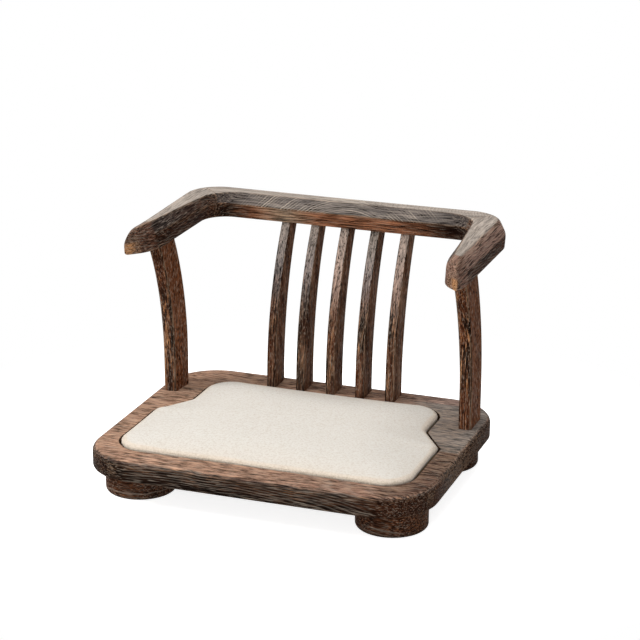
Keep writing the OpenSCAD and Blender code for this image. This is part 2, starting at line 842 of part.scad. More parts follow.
module slat_rear_disc() {
    flare = slat_chamfer + cut_over;
    translate([0, slat_rear_centre_y, slat_centre_z])
        along_x()
            rotate_extrude($fn = 180)
                polygon([
                    [0, -slat_w / 2 - cut_over],
                    [slat_rear_r + flare, -slat_w / 2 - cut_over],
                    [slat_rear_r, -slat_w / 2 + slat_chamfer],
                    [slat_rear_r, slat_w / 2 - slat_chamfer],
                    [slat_rear_r + flare, slat_w / 2 + cut_over],
                    [0, slat_w / 2 + cut_over]
                ]);
}

module back_slat(i) {
    color(dark_wood_colour)
        in_place()
            translate([(i - slat_middle) * slat_pitch, 0, 0]) {
                difference() {
                    intersection() {
                        slat_front_disc();
                        translate([-slat_w, 0, seat_top])
                            cube([2 * slat_w, far / 2, chair_h]);
                    }
                    slat_rear_disc();
                    over_crest_underside();
                }
                slat_foot_tenon(0, 0);
                slat_head_tenon(0, 0);
            }
}

// The whole rail, bent round the back and both arms
module rail_blank() {
    polyhedron(
        points = [for (ring = rail_rings) each ring],
        faces = skin_faces(len(rail_rings), edge_count),
        convexity = 6
    );
}

// Everything on the right arm's side of the mitre
module mitre_region() {
    linear_extrude(far)
        polygon([[0, -mitre_shift], [0, -far], [far, -far], [far, far - mitre_shift]]);
}

module crest_rail() {
    color(wood_colour)
        in_place()
            difference() {
                rail_blank();
                for (side = [0, 1])
                    mirror([side, 0, 0]) {
                        mitre_region();
                        mitre_tenon_block(joint_clearance, tenon_end_gap);
                    }
                at_slats() slat_head_tenon(joint_clearance, tenon_end_gap);
            }
}

module arm_rail(side) {
    color(wood_colour)
        in_place()
            mirror([side, 0, 0])
                difference() {
                    intersection() {
                        rail_blank();
                        mitre_region();
                    }
                    mitre_tenon_block(joint_clearance, tenon_end_gap);
                    post_head_tenon(joint_clearance, tenon_end_gap);
                }
}

module mitre_tenon(side) {
    color(birch_colour)
        in_place()
            mirror([side, 0, 0]) mitre_tenon_block(0, 0);
}

seat_front_board();
seat_middle_board();
seat_rear_board();
seat_dowels();
cushion();
cushion_board();
cushion_screws();
foot(-1, -1);  // front_left_foot
foot(1, -1);  // front_right_foot
foot(-1, 1);  // rear_left_foot
foot(1, 1);  // rear_right_foot
foot_screws();
arm_post(1);  // left_arm_post
arm_post(0);  // right_arm_post
back_slat(1);  // back_slat_1
back_slat(2);  // back_slat_2
back_slat(3);  // back_slat_3
back_slat(4);  // back_slat_4
back_slat(5);  // back_slat_5
crest_rail();
arm_rail(1);  // left_arm_rail
arm_rail(0);  // right_arm_rail
mitre_tenon(1);  // left_mitre_tenon
mitre_tenon(0);  // right_mitre_tenon
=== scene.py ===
"""Looks of the wooden floor chair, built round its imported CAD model.

Lengths are metres. +X is to the right, +Y to the back, and the floor lies at z = 0.
"""

import math

import bmesh
import bpy
from mathutils import Matrix, Vector


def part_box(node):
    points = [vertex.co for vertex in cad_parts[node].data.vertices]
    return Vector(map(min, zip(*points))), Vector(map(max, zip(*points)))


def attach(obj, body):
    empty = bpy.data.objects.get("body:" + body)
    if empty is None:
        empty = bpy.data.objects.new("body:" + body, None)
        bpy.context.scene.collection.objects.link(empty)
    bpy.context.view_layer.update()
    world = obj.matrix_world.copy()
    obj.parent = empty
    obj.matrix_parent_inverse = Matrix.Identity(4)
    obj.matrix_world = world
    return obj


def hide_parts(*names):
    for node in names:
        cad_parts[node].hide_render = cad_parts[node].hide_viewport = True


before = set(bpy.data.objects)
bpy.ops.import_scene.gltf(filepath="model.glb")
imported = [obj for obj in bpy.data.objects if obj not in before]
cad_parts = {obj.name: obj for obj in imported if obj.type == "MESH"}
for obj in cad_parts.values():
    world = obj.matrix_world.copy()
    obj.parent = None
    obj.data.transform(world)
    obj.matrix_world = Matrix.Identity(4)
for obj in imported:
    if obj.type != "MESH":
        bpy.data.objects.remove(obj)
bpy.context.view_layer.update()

bl_info = {
    "name": "Wooden floor chair",
    "version": (1, 0, 0),
    "blender": (4, 5, 0),
    "location": "3D View > Sidebar > Chair",
    "description": "Builds the brushed walnut, the linen cushion and the stage of a low floor chair",
    "category": "Object",
}

BODY = "root"

BOARDS = ("seat_front_board", "seat_middle_board", "seat_rear_board")
SLATS = tuple(f"back_slat_{number}" for number in range(1, 6))
FEET = ("front_left_foot", "front_right_foot", "rear_left_foot", "rear_right_foot")
BIRCH_NODES = ("seat_dowels", "cushion_board", "left_mitre_tenon", "right_mitre_tenon")
ZINC_NODES = ("cushion_screws", "foot_screws")


def joined_box(*nodes):
    """Lowest and highest corner round several CAD nodes."""
    corners = [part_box(node) for node in nodes]
    low = Vector([min(box[0][axis] for box in corners) for axis in range(3)])
    high = Vector([max(box[1][axis] for box in corners) for axis in range(3)])
    return low, high


# Places that the frame gives
SEAT_LOW, SEAT_HIGH = joined_box(*BOARDS)
SEAT_MIDDLE = (SEAT_LOW + SEAT_HIGH) / 2
CREST_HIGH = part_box("crest_rail")[1]
ARM_LOW, ARM_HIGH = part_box("right_arm_rail")
FOOT_LOW, FOOT_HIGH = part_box("front_right_foot")
POST_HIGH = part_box("right_arm_post")[1]
SLAT_PITCH = (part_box(SLATS[-1])[0].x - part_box(SLATS[0])[0].x) / (len(SLATS) - 1)
FRONT_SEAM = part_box("seat_front_board")[1].y
REAR_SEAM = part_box("seat_rear_board")[0].y


def linear(code):
    """A colour written as #rrggbb, as the linear values that Blender works in."""
    parts = [int(code[i : i + 2], 16) / 255 for i in (1, 3, 5)]
    return [c / 12.92 if c <= 0.04045 else ((c + 0.055) / 1.055) ** 2.4 for c in parts]


def ratio(name, description, default, unit="NONE", precision=3):
    """A setting, which is a plain number if no unit is given."""
    return bpy.props.FloatProperty(
        name=name, description=description, default=default, unit=unit, precision=precision
    )


def length(name, description, default):
    return ratio(name, description, default, "LENGTH", 4)


def turn(name, description, degrees):
    return ratio(name, description, math.radians(degrees), "ROTATION", 2)


def colour(name, description, code):
    return bpy.props.FloatVectorProperty(
        name=name, description=description, default=linear(code), size=3, subtype="COLOR", min=0, max=1
    )


class ChairWoodColours(bpy.types.PropertyGroup):
    """Tones of the brushed walnut."""

    deep: colour("Deep wood", "Darkest tone, low in the brushed grain", "#0d0705")
    dark: colour("Dark wood", "Dark tone between the rings", "#1f120c")
    middle: colour("Middle wood", "Tone of most of the wood", "#412a1d")
    light: colour("Light wood", "Tone of the lighter streaks", "#744b35")
    gold: colour("Golden wood", "Tone of the golden flecks", "#c58c5c")
    red: colour("Red wood", "Tone of the reddish patches", "#6b3a22")
    # Painted sheen on the grain's ridges and glints, over the ridges' own tone
    ridge: colour("Ridges", "Tone of the polished ridges of the grain", "#b3a596")
    # Painted sheen on faces that look half upwards; also grey wood on the seat
    slate: colour("Slate", "Grey tone of facets that face half upwards", "#6b6460")
    # Painted sheen on up-facing faces of the rail and the slats; also grey wood on the seat
    taupe: colour("Taupe", "Pale tone of the rail's top", "#a4998f")
    # Wood of the seat's top, with a painted sheen where it faces up
    tan: colour("Tan", "Golden tone of the seat's top", "#9f7c67")
    # Even brown of the sides, partly painted shade
    chocolate: colour("Chocolate", "Even brown of the sides of posts and slats", "#6e4229")
    amber: colour("Amber", "Flamed tone under the crest", "#b57a5a")
    rose: colour("Rose", "Pinkish brown of the arms' noses and of parts of the seat", "#8b6a5b")
    umber: colour("Umber", "Dark reddish brown of the left arm's nose", "#5e4033")
    # Painted highlight on the upper fronts of some slats
    cool: colour("Cool grey", "Bluish grey of some slats near the crest", "#77747a")
    # Painted highlight on the upper fronts of the other slats; also pale wood on the arms and the seat
    pink: colour("Pinkish wood", "Pale tone of the other slats near the crest", "#b3978b")
    # Painted highlight with a worn tone on bent edges; also a pale patch under the crest
    wear: colour("Worn edges", "Tone of edges that hands have rubbed", "#a0866f")


class ChairOtherColours(bpy.types.PropertyGroup):
    """Colours of the linen, the hidden wood, the zinc and the floor."""

    linen: colour("Linen", "Colour of the cushion's cover", "#e4dfd6")
    # Painted warm shade where the cover turns down
    linen_edge_shade: colour("Linen edge", "Creamy tone of the linen where it turns down", "#e3d3bf")
    linen_shade: colour("Linen shade", "Colour between the linen's threads", "#b9a68f")
    birch: colour("Birch", "Colour of the hidden board, dowels and tenons", "#d9bf93")
    birch_line: colour("Birch grain", "Colour of the lines in the hidden wood", "#b8925f")
    zinc: colour("Zinc", "Colour of the screws", "#b9bcbf")
    floor: colour("Floor", "Colour of the floor and the backdrop", "#c9c9c7")


class ChairRailSizes(bpy.types.PropertyGroup):
    """Section and course of the rail that runs round as crest and arms."""

    thickness: length("Thickness", "Thickness at the inner edge", 0.0395)
    under_slope: length("Underside slope", "How much thicker the rail is at its outer edge", 0.004)
    crest_top_depth: length("Crest top", "Depth of the crest's flat top", 0.024)
    crest_bulge: length("Crest bulge", "How far the front crease stands out from the flat top", 0.015)
    crest_depth: length("Crest depth", "Depth from the front crease to the rear crease", 0.055)
    rear_tuck: length("Rear tuck", "How far the lower edges draw back from the rear crease", 0.0015)
    inner_drop: length("Inner crease drop", "Drop from the top to the inner crease", 0.015)
    outer_drop: length("Outer crease drop", "Drop from the top to the outer crease", 0.023)
    arm_top_inset: length("Arm top inset", "Inset of the arm's flat top from its outer crease", 0.008)
    arm_top_width: length("Arm top width", "Width of the arm's flat top beside the seat's centre", 0.012)
    arm_top_taper: ratio("Arm top taper", "Width gained by the flat top for each unit to the back", 0.124)
    arm_dip: length("Arm dip", "Drop of the outer top edge from the corner to the nose", 0.004)
    arm_under_width: length("Arm underside", "Width of the arm's flat underside and outer tuck", 0.036)
    arm_crease_width: length("Arm creases", "Distance of the arm's creases beside the seat centre", 0.0335)
    arm_crease_taper: ratio("Arm crease taper", "Width gained there for each unit to the back", 0.079)
    arm_reach: length("Arm reach", "How far the arms reach in front of the seat's centre", 0.034)
    nose_side_length: length("Nose side", "Length over which the nose's inner side is curved", 0.082)
    nose_top_length: length("Nose top", "Length over which the nose's top is rounded", 0.024)
    nose_face_height: length("Nose face height", "Height of the nose's small end face", 0.0155)
    nose_face_width: length("Nose face width", "Width of the nose's small end face", 0.0185)
    nose_face_turn: turn("Nose face turn", "Turn of the end face towards the other arm", 49)
    nose_tuck: length("Nose tuck", "Inset of the end face from the outer crease", 0.0035)
    nose_drop: length("Nose drop", "Drop from the rail's top to the end face", 0.022)
    nose_bevel: length("Nose bevel", "Width of the bevel over the end face", 0.0015)
    corner_outer: length("Outer corner", "Corner radius of the outer top edge", 0.046)
    corner_inner: length("Inner corner", "Corner radius of the inner top edge", 0.05)
    corner_crease: length("Crease corner", "Corner radius of the inner crease", 0.03)
    corner_under: length("Underside corner", "Corner radius of the underside's inner edge", 0.038)
    outer_round: length("Outer rounding", "Rounding of the two upper outer edges", 0.006)
    edge_round: length("Edge rounding", "Rounding of the rail's other edges", 0.0022)
    nose_round: length("Nose rounding", "Rounding of all edges at the nose", 0.0055)
    groove: length("Mitre groove", "Depth of the fine line at the mitres", 0.00025)


class ChairUprightSizes(bpy.types.PropertyGroup):
    """Back slats and arm posts."""

    slat_width: length("Slat width", "Width of a back slat", 0.014)
    slat_depth: length("Slat depth", "Depth of a slat at its foot", 0.0385)
    slat_front_radius: length("Slat front radius", "Radius of the slats' front edge", 0.43)
    slat_rear_radius: length("Slat rear radius", "Radius of the slats' rear edge", 0.482)
    slat_inset: length("Slat inset", "Distance from the seat's rear edge to the slats' front edge", 0.053)
    slat_upright: length("Slat upright height", "Height over the seat where the slats stand upright", 0.01)
    slat_round: length("Slat rounding", "Rounding of a slat's edges", 0.0018)
    post_front_width: length("Post front width", "Width of a post's front face", 0.0185)
    post_rear_width: length("Post rear width", "Width of a post near its rear edge", 0.023)
    post_depth: length("Post depth", "Depth of a post", 0.052)
    post_rear_slant: length("Post rear slant", "Slant of a post's rear face", 0.012)
    post_inset: length("Post inset", "Distance from the seat's rear edge to a post's front face", 0.121)
    post_radius: length("Post radius", "Radius of a post's front face", 0.39)
    post_straight: length("Post straight part", "Height over the seat up to which a post is straight", 0.05)
    post_round: length("Post rounding", "Rounding of a post's edges", 0.003)
    post_embed: length("Post embedding", "How far a post runs on inside the seat and the rail", 0.007)
    slat_embed: length("Slat embedding", "How far a slat runs on inside the seat and the rail", 0.003)


class ChairSeatSizes(bpy.types.PropertyGroup):
    """Seat seams, feet and cushion."""

    seam_groove: length("Seam groove", "Depth of the fine line between the boards", 0.0005)
    foot_bottom_round: length("Foot lower rounding", "Rounding of a foot's lower edge", 0.005)
    foot_top_round: length("Foot upper rounding", "Rounding of a foot's upper edge", 0.006)
    screw_pitch: length("Screw distance", "Distance between the two screws of a foot", 0.044)
    counterbore: length("Counterbore", "Width of the holes that the screw heads stand in", 0.012)
    counterbore_depth: length("Counterbore depth", "Depth of those holes", 0.016)
    cushion_voxel: length("Cushion mesh size", "Mesh size of the simulated cover", 0.004)
    cushion_start: length("Cushion start", "How much smaller the cover starts than the CAD cushion", 0.0012)
    cushion_swell: length("Cushion swell", "Most that the simulation may move a point of the cover", 0.004)
    cushion_pressure: ratio("Cushion pressure", "Pressure inside the simulated cover", 4.0)


class ChairStageSizes(bpy.types.PropertyGroup):
    """Camera, lamps and floor."""

    azimuth: turn("Camera azimuth", "Camera's turn to the right of the chair's front", 20.504)
    elevation: turn("Camera elevation", "Camera's height over the horizon", 19.849)
    distance: length("Camera distance", "Distance from the camera to the point it looks at", 3.08306)
    aim_height: length("Aim height", "Height of the point that the camera looks at", 0.15)
    focal: ratio("Focal length", "Focal length in millimetres on a sensor 36 mm wide", 123.43)
    shift_x: ratio("Shift across", "Sideways shift of the picture", 0.0396)
    shift_y: ratio("Shift up", "Upward shift of the picture", 0.0863)
    key_power: ratio("Key lamp", "Power of the soft lamp at the upper left, in watts", 34.0)
    top_power: ratio("Top lamp", "Power of the wide lamp overhead, in watts", 25.0)
    fill_power: ratio("Front lamp", "Power of the wide lamp in front, in watts", 22.0)
    ambient: ratio("Ambient light", "Strength of the even light from all round", 0.36)
    floor_size: length("Floor size", "Length of the floor's sides", 14.0)


class ChairSettings(bpy.types.PropertyGroup):
    """All the chair's settings."""

    wood: bpy.props.PointerProperty(type=ChairWoodColours)
    other: bpy.props.PointerProperty(type=ChairOtherColours)
    rail: bpy.props.PointerProperty(type=ChairRailSizes)
    upright: bpy.props.PointerProperty(type=ChairUprightSizes)
    seat: bpy.props.PointerProperty(type=ChairSeatSizes)
    stage: bpy.props.PointerProperty(type=ChairStageSizes)


# Node trees


class Tree:
    """A shader or geometry node tree with short ways to add its nodes."""

    def __init__(self, tree):
        self.tree = tree

    def node(self, kind, inputs=None, settings=None, outlet=0):
        """Adds a node, and returns its outlet with that number or name."""
        made = self.tree.nodes.new(kind)
        for name, value in (settings or {}).items():
            setattr(made, name, value)
        for name, value in (inputs or {}).items():
            if isinstance(value, bpy.types.NodeSocket):
                self.tree.links.new(value, made.inputs[name])
            else:
                made.inputs[name].default_value = value
        return made.outputs[outlet] if len(made.outputs) else made

    def math(self, operation, *values, clamp=False):
        settings = {"operation": operation, "use_clamp": clamp}
        return self.node("ShaderNodeMath", dict(enumerate(values)), settings)

    def product(self, first, *others, clamp=False):
        """Its values multiplied by one another."""
        for value in others:
            first = self.math("MULTIPLY", first, value, clamp=clamp)
        return first

    def vector_math(self, operation, *values, outlet=0):
        return self.node("ShaderNodeVectorMath", dict(enumerate(values)), {"operation": operation}, outlet)

    def scaled(self, vector, scale):
        return self.vector_math("MULTIPLY", vector, scale)

    def parts(self, vector):
        """The X, Y and Z of a vector."""
        return self.node("ShaderNodeSeparateXYZ", {0: vector}).node.outputs

    def coordinates(self, kind):
        return self.node("ShaderNodeTexCoord", outlet=kind)

    def attribute(self, name):
        return self.node("ShaderNodeAttribute", None, {"attribute_name": name}, "Fac")

    def vector(self, **parts):
        """A vector from its X, Y and Z."""
        return self.node("ShaderNodeCombineXYZ", parts)

    def rotated(self, vector, rotation):
        return self.node("ShaderNodeMapping", {"Vector": vector, "Rotation": rotation})

    def noise(self, vector, detail=2.0, roughness=0.5, outlet=0):
        inputs = {"Vector": vector, "Scale": 1.0, "Detail": detail, "Roughness": roughness}
        return self.node("ShaderNodeTexNoise", inputs, outlet=outlet)

    def drift(self, vector, scale):
        """A shift that wanders from minus a half to a half on each axis."""
        wander = self.noise(self.scaled(vector, scale), 2, outlet=1)
        return self.vector_math("SUBTRACT", wander, (0.5, 0.5, 0.5))

    def fade(self, value, low, high):
        """0 below low, 1 above high, with a soft change between them."""
        inputs = {"Value": value, "From Min": low, "From Max": high}
        return self.node("ShaderNodeMapRange", inputs, {"interpolation_type": "SMOOTHSTEP"})

    def within(self, value, low, high, soft):
        """1 between low and high, with soft ends."""
        above = self.fade(value, low - soft, low + soft)
        return self.product(above, self.fade(value, high + soft, high - soft))

    def spread(self, value, low, high):
        """Turns 0 to 1 into low to high."""
        return self.node("ShaderNodeMapRange", {"Value": value, "To Min": low, "To Max": high})

    def mix(self, factor, first, second):
        settings = {"data_type": "RGBA", "clamp_factor": True}
        return self.node("ShaderNodeMix", {0: factor, 6: first, 7: second}, settings, 2)

    def ramp(self, factor, stops):
        made = self.node("ShaderNodeValToRGB", {"Fac": factor}).node
        ends = made.color_ramp.elements
        for _ in stops[2:]:
            ends.new(0.5)
        for end, (place, value) in zip(ends, stops):
            end.position = place
            end.color = opaque(value)
        return made.outputs[0]

    def bump(self, height, depth, strength):
        inputs = {"Strength": strength, "Distance": depth, "Height": height}
        return self.node("ShaderNodeBump", inputs)

    def surface(self, colour_link, roughness, normal, constants=None):
        """Ends a material in a Principled shader, whose constants stand on its own sockets."""
        inputs = {"Base Color": colour_link, "Roughness": roughness, "Normal": normal, **(constants or {})}
        shader = self.node("ShaderNodeBsdfPrincipled", inputs)
        self.node("ShaderNodeOutputMaterial", {"Surface": shader})

    def mix_shaders(self, factor, first, second):
        return self.node("ShaderNodeMixShader", {0: factor, 1: first, 2: second})

    def seen(self):
        """1 for what the camera sees, by itself or through glass or gloss."""
        rays = self.node("ShaderNodeLightPath").node.outputs
        bent = self.math("MAXIMUM", rays["Is Glossy Ray"], rays["Is Transmission Ray"])
        return self.math("MAXIMUM", rays["Is Camera Ray"], bent)


def opaque(value):
    """A colour or a grey value with full alpha."""
    return (*value, 1.0) if hasattr(value, "__len__") else (value, value, value, 1.0)


def new_material(name):
    material = bpy.data.materials.new(name)
    material.use_nodes = True
    material.node_tree.nodes.clear()
    return material, Tree(material.node_tree)


# Turns that lay a piece's grain along the texture's X axis
GRAIN_X = (0.0, 0.0, 0.0)
GRAIN_Y = (0.0, 0.0, -math.pi / 2)
GRAIN_Z = (0.0, math.pi / 2, 0.0)

PIECE_NUMBER = "piece_number"
# How far the grain of the next piece lies from that of the one before
PIECE_SHIFT = (0.373, 0.117, 0.231)
PINKISH_SLATS = (2, 4)
# Name of the stored bend of the surface, which places the painted edge highlight and worn tone
BEND = "wear"
# Oiled wood has next to no mirror gloss in a white studio; its sheen is painted into the colour instead
WOOD_GLOSS = 0.004
WOOD_BUMP = 0.0008
# How often the wood's patterns come over a metre, along the grain and in the two ways across it
DRIFT_SCALE, PATCH_SCALE = (5, 16, 16), (7, 26, 26)
ZONE_SCALE, CURL_SCALE, FLAME_SCALE = (9, 22, 31), (330, 110, 110), (22, 150, 150)
FIBRES_ACROSS = 520
# How far the drift moves the grain and the rings
GRAIN_DRIFT, RING_DRIFT = (0.0, 0.02, 0.02), (0.012, 0.012, 0.012)
# How much the patches bend the rings, and the rings' slant along Y
RING_WOBBLE, RING_SLANT = 2.4, 0.12
# What fibres, patches and curls add to the tone, and the middle of their sum
FIBRE_TONE, PATCH_TONE, CURL_TONE, MIDDLE_TONE = 2.9, 0.8, 1.2, 1.38
# What ridges, fibres and pores add to the bump
RIDGE_BUMP, FIBRE_BUMP, PORE_BUMP = 0.6, 0.9, 0.25
# Where the five shades of the wood stand between dark and light grain
SHADE_PLACES = (0.12, 0.36, 0.53, 0.72, 0.95)
# Where the growth rings rise to a ridge and fall again
RIDGE_FORM = [(0.0, 0.0), (0.5, 0.05), (0.78, 1.0), (0.92, 1.0), (1.0, 0.0)]


def walnut(
    name, grain, rings, zones, top="taupe", red=0.5, grey=1.0, curl=0.3, ridges=0.6, run=16, depth=420,
    span=1.0, specks=(36, 630, 900),
):
    """Brushed walnut. Its growth rings stand out as ridges with a painted pale sheen, and the wood between
    them lies deeper.

    rings holds a point, a squash and a gap: the rings run round a line along Y through the point.
    run and depth are how often the fibres change over a metre along the grain and from front to back,
    and the ridges end at the distance span from the chair's middle. specks is how often pores and
    glints come over a metre, along the grain and across it.
    Faces that look up take the tone that top names, as a painted sheen over the wood's own tone.
    zones(tree, tones, place, facing) returns the piece's own patches, where place and facing hold X, Y and
    Z outlets. A patch is a colour, a contrast and the factors that multiply to its weight.
    """
    ring_centre, ring_squash, ring_gap = rings
    tones = bpy.context.scene.chair.wood
    material, tree = new_material(name)
    place = tree.coordinates("Object")
    number = tree.attribute(PIECE_NUMBER)
    shift = tree.vector(X=number, Y=number, Z=number)
    along = tree.rotated(tree.vector_math("MULTIPLY_ADD", shift, PIECE_SHIFT, place), grain)

    # The grain wanders a little
    drift = tree.drift(along, DRIFT_SCALE)
    along = tree.vector_math("MULTIPLY_ADD", drift, GRAIN_DRIFT, along)
    fibres = tree.noise(tree.scaled(along, (run, depth, FIBRES_ACROSS)), 4, 0.68)
    pores = tree.noise(tree.scaled(along, specks), 1)
    patches = tree.noise(tree.scaled(along, PATCH_SCALE), 3)
    zone_noise = tree.noise(tree.scaled(along, ZONE_SCALE), 3, outlet=1)
    drawn = tree.node("ShaderNodeSeparateColor", {0: zone_noise}).node.outputs
    curls = tree.noise(tree.scaled(along, CURL_SCALE), 3, 0.55)

    # Distance from the rings' line, with a wobble
    ring_place = tree.vector_math("SUBTRACT", place, ring_centre)
    ring_place = tree.vector_math("MULTIPLY_ADD", drift, RING_DRIFT, ring_place)
    ring_x, ring_y, ring_z = tree.parts(tree.scaled(ring_place, ring_squash))
    radius = tree.vector_math("LENGTH", tree.vector(X=ring_x, Z=ring_z), outlet="Value")
    radius = tree.math("MULTIPLY_ADD", ring_y, RING_SLANT, radius)
    ring_count = tree.math("MULTIPLY_ADD", radius, 1 / ring_gap, tree.product(patches, RING_WOBBLE))
    ring = tree.math("FLOOR", ring_count)
    ring_gain = tree.node("ShaderNodeTexWhiteNoise", {"W": ring}, {"noise_dimensions": "1D"})
    ridge = tree.ramp(tree.math("FRACT", ring_count), RIDGE_FORM)
    # Painted sheen on the ridges of the rings
    ridge_sheen = tree.product(tree.spread(ring_gain, 0.1, 1.1), tree.fade(patches, 0.30, 0.48))
    ridge_sheen = tree.product(ridge, ridge_sheen, clamp=True)

    # Colour
    tone = tree.math("MULTIPLY_ADD", fibres, FIBRE_TONE, tree.product(patches, PATCH_TONE))
    tone = tree.math("MULTIPLY_ADD", curls, CURL_TONE * curl, tone)
    tone = tree.math("SUBTRACT", tone, MIDDLE_TONE + CURL_TONE * curl / 2)
    shades = (tones.deep, tones.dark, tones.middle, tones.light, tones.gold)
    wood = tree.ramp(tone, list(zip(SHADE_PLACES, shades)))
    reddish = tree.product(tree.fade(drawn[0], 0.42, 0.58), red)
    wood = tree.mix(reddish, wood, tree.mix(0.5, wood, opaque(tones.red)))
    blackish = tree.product(tree.fade(drawn[1], 0.50, 0.62), 0.5)
    wood = tree.mix(blackish, wood, opaque(tones.deep))

    # Faces that look half upwards and upwards take a painted grey sheen over the wood's own tone, and each
    # piece has patches of its own, some of them painted light and shade
    facing = tree.parts(tree.coordinates("Normal"))
    parts = tree.parts(place)
    half_up_sheen = tree.product(tree.fade(facing[2], 0.15, 0.6), 0.8 * grey, clamp=True)
    upwards = tree.product(tree.fade(facing[2], 0.85, 0.98), 0.85)
    patched = [(tones.slate, 0.7, half_up_sheen), (getattr(tones, top), 0.5, upwards)]
    patched += zones(tree, tones, parts, facing)
    for tint, contrast, *factors in patched:
        lift = tree.spread(tone, 1 - contrast, 1 + contrast)
        wood = tree.mix(tree.product(*factors), wood, tree.scaled(tint[:], lift))

    # Pores and painted glints, ridges with a painted pale sheen, and a painted highlight with a worn tone
    # on bent edges
    pore_shade = tree.product(tree.fade(pores, 0.43, 0.36), tree.spread(upwards, 0.9, 0.35))
    wood = tree.mix(pore_shade, wood, opaque(tones.deep))
    # Glints are painted highlights on pale specks
    glints = tree.product(tree.fade(pores, 0.57, 0.65), 0.6)
    wood = tree.mix(glints, wood, tree.mix(0.5, wood, opaque(tones.ridge)))
    from_middle = tree.math("ABSOLUTE", parts[0])
    # Painted sheen on the ridges, except on faces that look down
    ridge_sheen = tree.product(
        ridge_sheen, tree.fade(drawn[2], 0.40, 0.54), tree.fade(facing[2], -0.45, -0.1),
        tree.fade(from_middle, span + 0.02, span - 0.02), ridges,
    )
    wood = tree.mix(ridge_sheen, wood, opaque(tones.ridge))
    # Painted highlight with a worn tone on bent edges
    rubbed = tree.product(tree.attribute(BEND), tree.fade(fibres, 0.42, 0.62), 0.45)
    wood = tree.mix(rubbed, wood, opaque(tones.wear))

    height = tree.math("MULTIPLY_ADD", ridge, RIDGE_BUMP, tree.product(fibres, FIBRE_BUMP))
    height = tree.math("MULTIPLY_ADD", curls, curl, height)
    height = tree.math("MULTIPLY_ADD", pores, PORE_BUMP, height)
    roughness = tree.spread(tree.math("ADD", fibres, ridge, clamp=True), 0.62, 0.42)
    bump = tree.bump(height, WOOD_BUMP, 1.0)
    tree.surface(wood, roughness, bump, {"Specular IOR Level": WOOD_GLOSS})
    return material


def steep(tree, facing):
    """1 on upright faces, and 0 on level ones."""
    return tree.fade(tree.math("ABSOLUTE", facing[2]), 0.75, 0.4)


def crest_zones(tree, tones, place, facing):
    """A painted slate sheen on the front facet, amber flames below it, and darker towards both ends."""
    front = tree.within(facing[2], 0.4, 0.85, 0.06)
    under = tree.fade(facing[2], -0.1, -0.4)
    ends = tree.fade(tree.math("ABSOLUTE", place[0]), 0.13, 0.18)
    flames = tree.noise(tree.scaled(tree.coordinates("Object"), FLAME_SCALE), 3)
    flamed = tree.product(tree.within(place[0], -0.14, 0.11, 0.04), tree.fade(flames, 0.3, 0.6))
    return [
        # Painted sheen on the front facet
        (tones.slate, 0.25, front, 0.6),
        (tones.dark, 0.9, front, ends, 0.5),
        (tones.dark, 0.9, under, 0.75),
        (tones.light, 0.9, under, tree.within(place[0], -0.15, 0.13, 0.04)),
        (tones.amber, 0.9, under, flamed, 0.85),
        # Painted highlight below the crest, left of the middle
        (tones.wear, 1.3, under, tree.within(place[0], -0.12, -0.06, 0.03)),
    ]


def arm_zones(tree, tones, place, facing):
    """Darker inner sides, rose-brown outer sides and noses, and golden end faces."""
    rail = bpy.context.scene.chair.rail
    reach = ARM_LOW.y
    waves = tree.noise(tree.scaled(tree.coordinates("Object"), (60, 60, 60)), 2)
    wavy = tree.math("MULTIPLY_ADD", waves, 0.03, place[1])
    nose = tree.fade(wavy, reach + 0.066, reach + 0.060)
    outward = tree.product(facing[0], place[0])
    inner = tree.fade(outward, -0.02, -0.1)
    outer = tree.fade(outward, 0.08, 0.16)
    sloping = tree.fade(facing[2], 0.08, 0.24)
    lower = tree.fade(facing[2], 0.24, 0.08)
    right = tree.math("GREATER_THAN", place[0], 0.0)
    sideways = tree.product(tree.math("ABSOLUTE", facing[0]), math.sin(rail.nose_face_turn))
    towards_end = tree.math("MULTIPLY_ADD", facing[1], -math.cos(rail.nose_face_turn), sideways)
    face_top = ARM_HIGH.z - rail.nose_drop
    end = tree.product(
        tree.fade(towards_end, 0.8, 0.97), tree.fade(place[2], face_top + 0.003, face_top - 0.004),
        tree.fade(place[1], reach + 0.019, reach + 0.006),
    )
    return [
        (tones.red, 0.8, steep(tree, facing), 0.3),
        (tones.dark, 0.9, inner, 0.62),
        (tones.dark, 0.9, outer, lower, 0.55),
        (tones.rose, 0.45, outer, sloping, 0.85),
        (tones.pink, 0.6, outer, sloping, 0.3),
        (tones.umber, 0.9, nose, 0.7),
        (tones.rose, 0.9, nose, right, 0.75),
        (tones.gold, 0.6, end, 0.9),
    ]


def upright_zones(tree, tones, place, facing):
    """Even brown sides that are partly painted shade, painted shade along the arrises, and a painted pale
    sheen on upper fronts.
    """
    sideways = tree.math("ABSOLUTE", facing[0])
    return [
        # Painted sheen on faces that tilt upwards
        (tones.taupe, 0.6, tree.fade(facing[2], 0.3, 0.55), 0.7),
        # Even brown sides, partly painted shade
        (tones.chocolate, 0.5, tree.fade(sideways, 0.6, 0.95), 0.9),
        # Painted shade along the arrises
        (tones.deep, 0.5, tree.within(sideways, 0.35, 0.85, 0.12), 0.8),
    ]


def slat_zones(tree, tones, place, facing):
    """The zones of uprights, with painted shade that darkens the sides, and a painted highlight on the
    upper fronts, cool or pinkish by turns.
    """
    sideways = tree.math("ABSOLUTE", facing[0])
    # Painted highlight on the upper fronts
    upper = tree.product(tree.fade(place[2], 0.17, 0.27), tree.fade(sideways, 0.5, 0.2))
    number = tree.attribute(PIECE_NUMBER)
    pink = tree.math("ADD", *[tree.math("COMPARE", number, slat, 0.2) for slat in PINKISH_SLATS])
    return [
        (tones.cool, 1.2, upper, tree.math("SUBTRACT", 1.0, pink), 0.6),
        (tones.pink, 1.0, upper, pink, 0.8),
        *upright_zones(tree, tones, place, facing),
        # Painted shade on the sides
        (tones.dark, 0.7, tree.fade(sideways, 0.6, 0.95), 0.25),
    ]


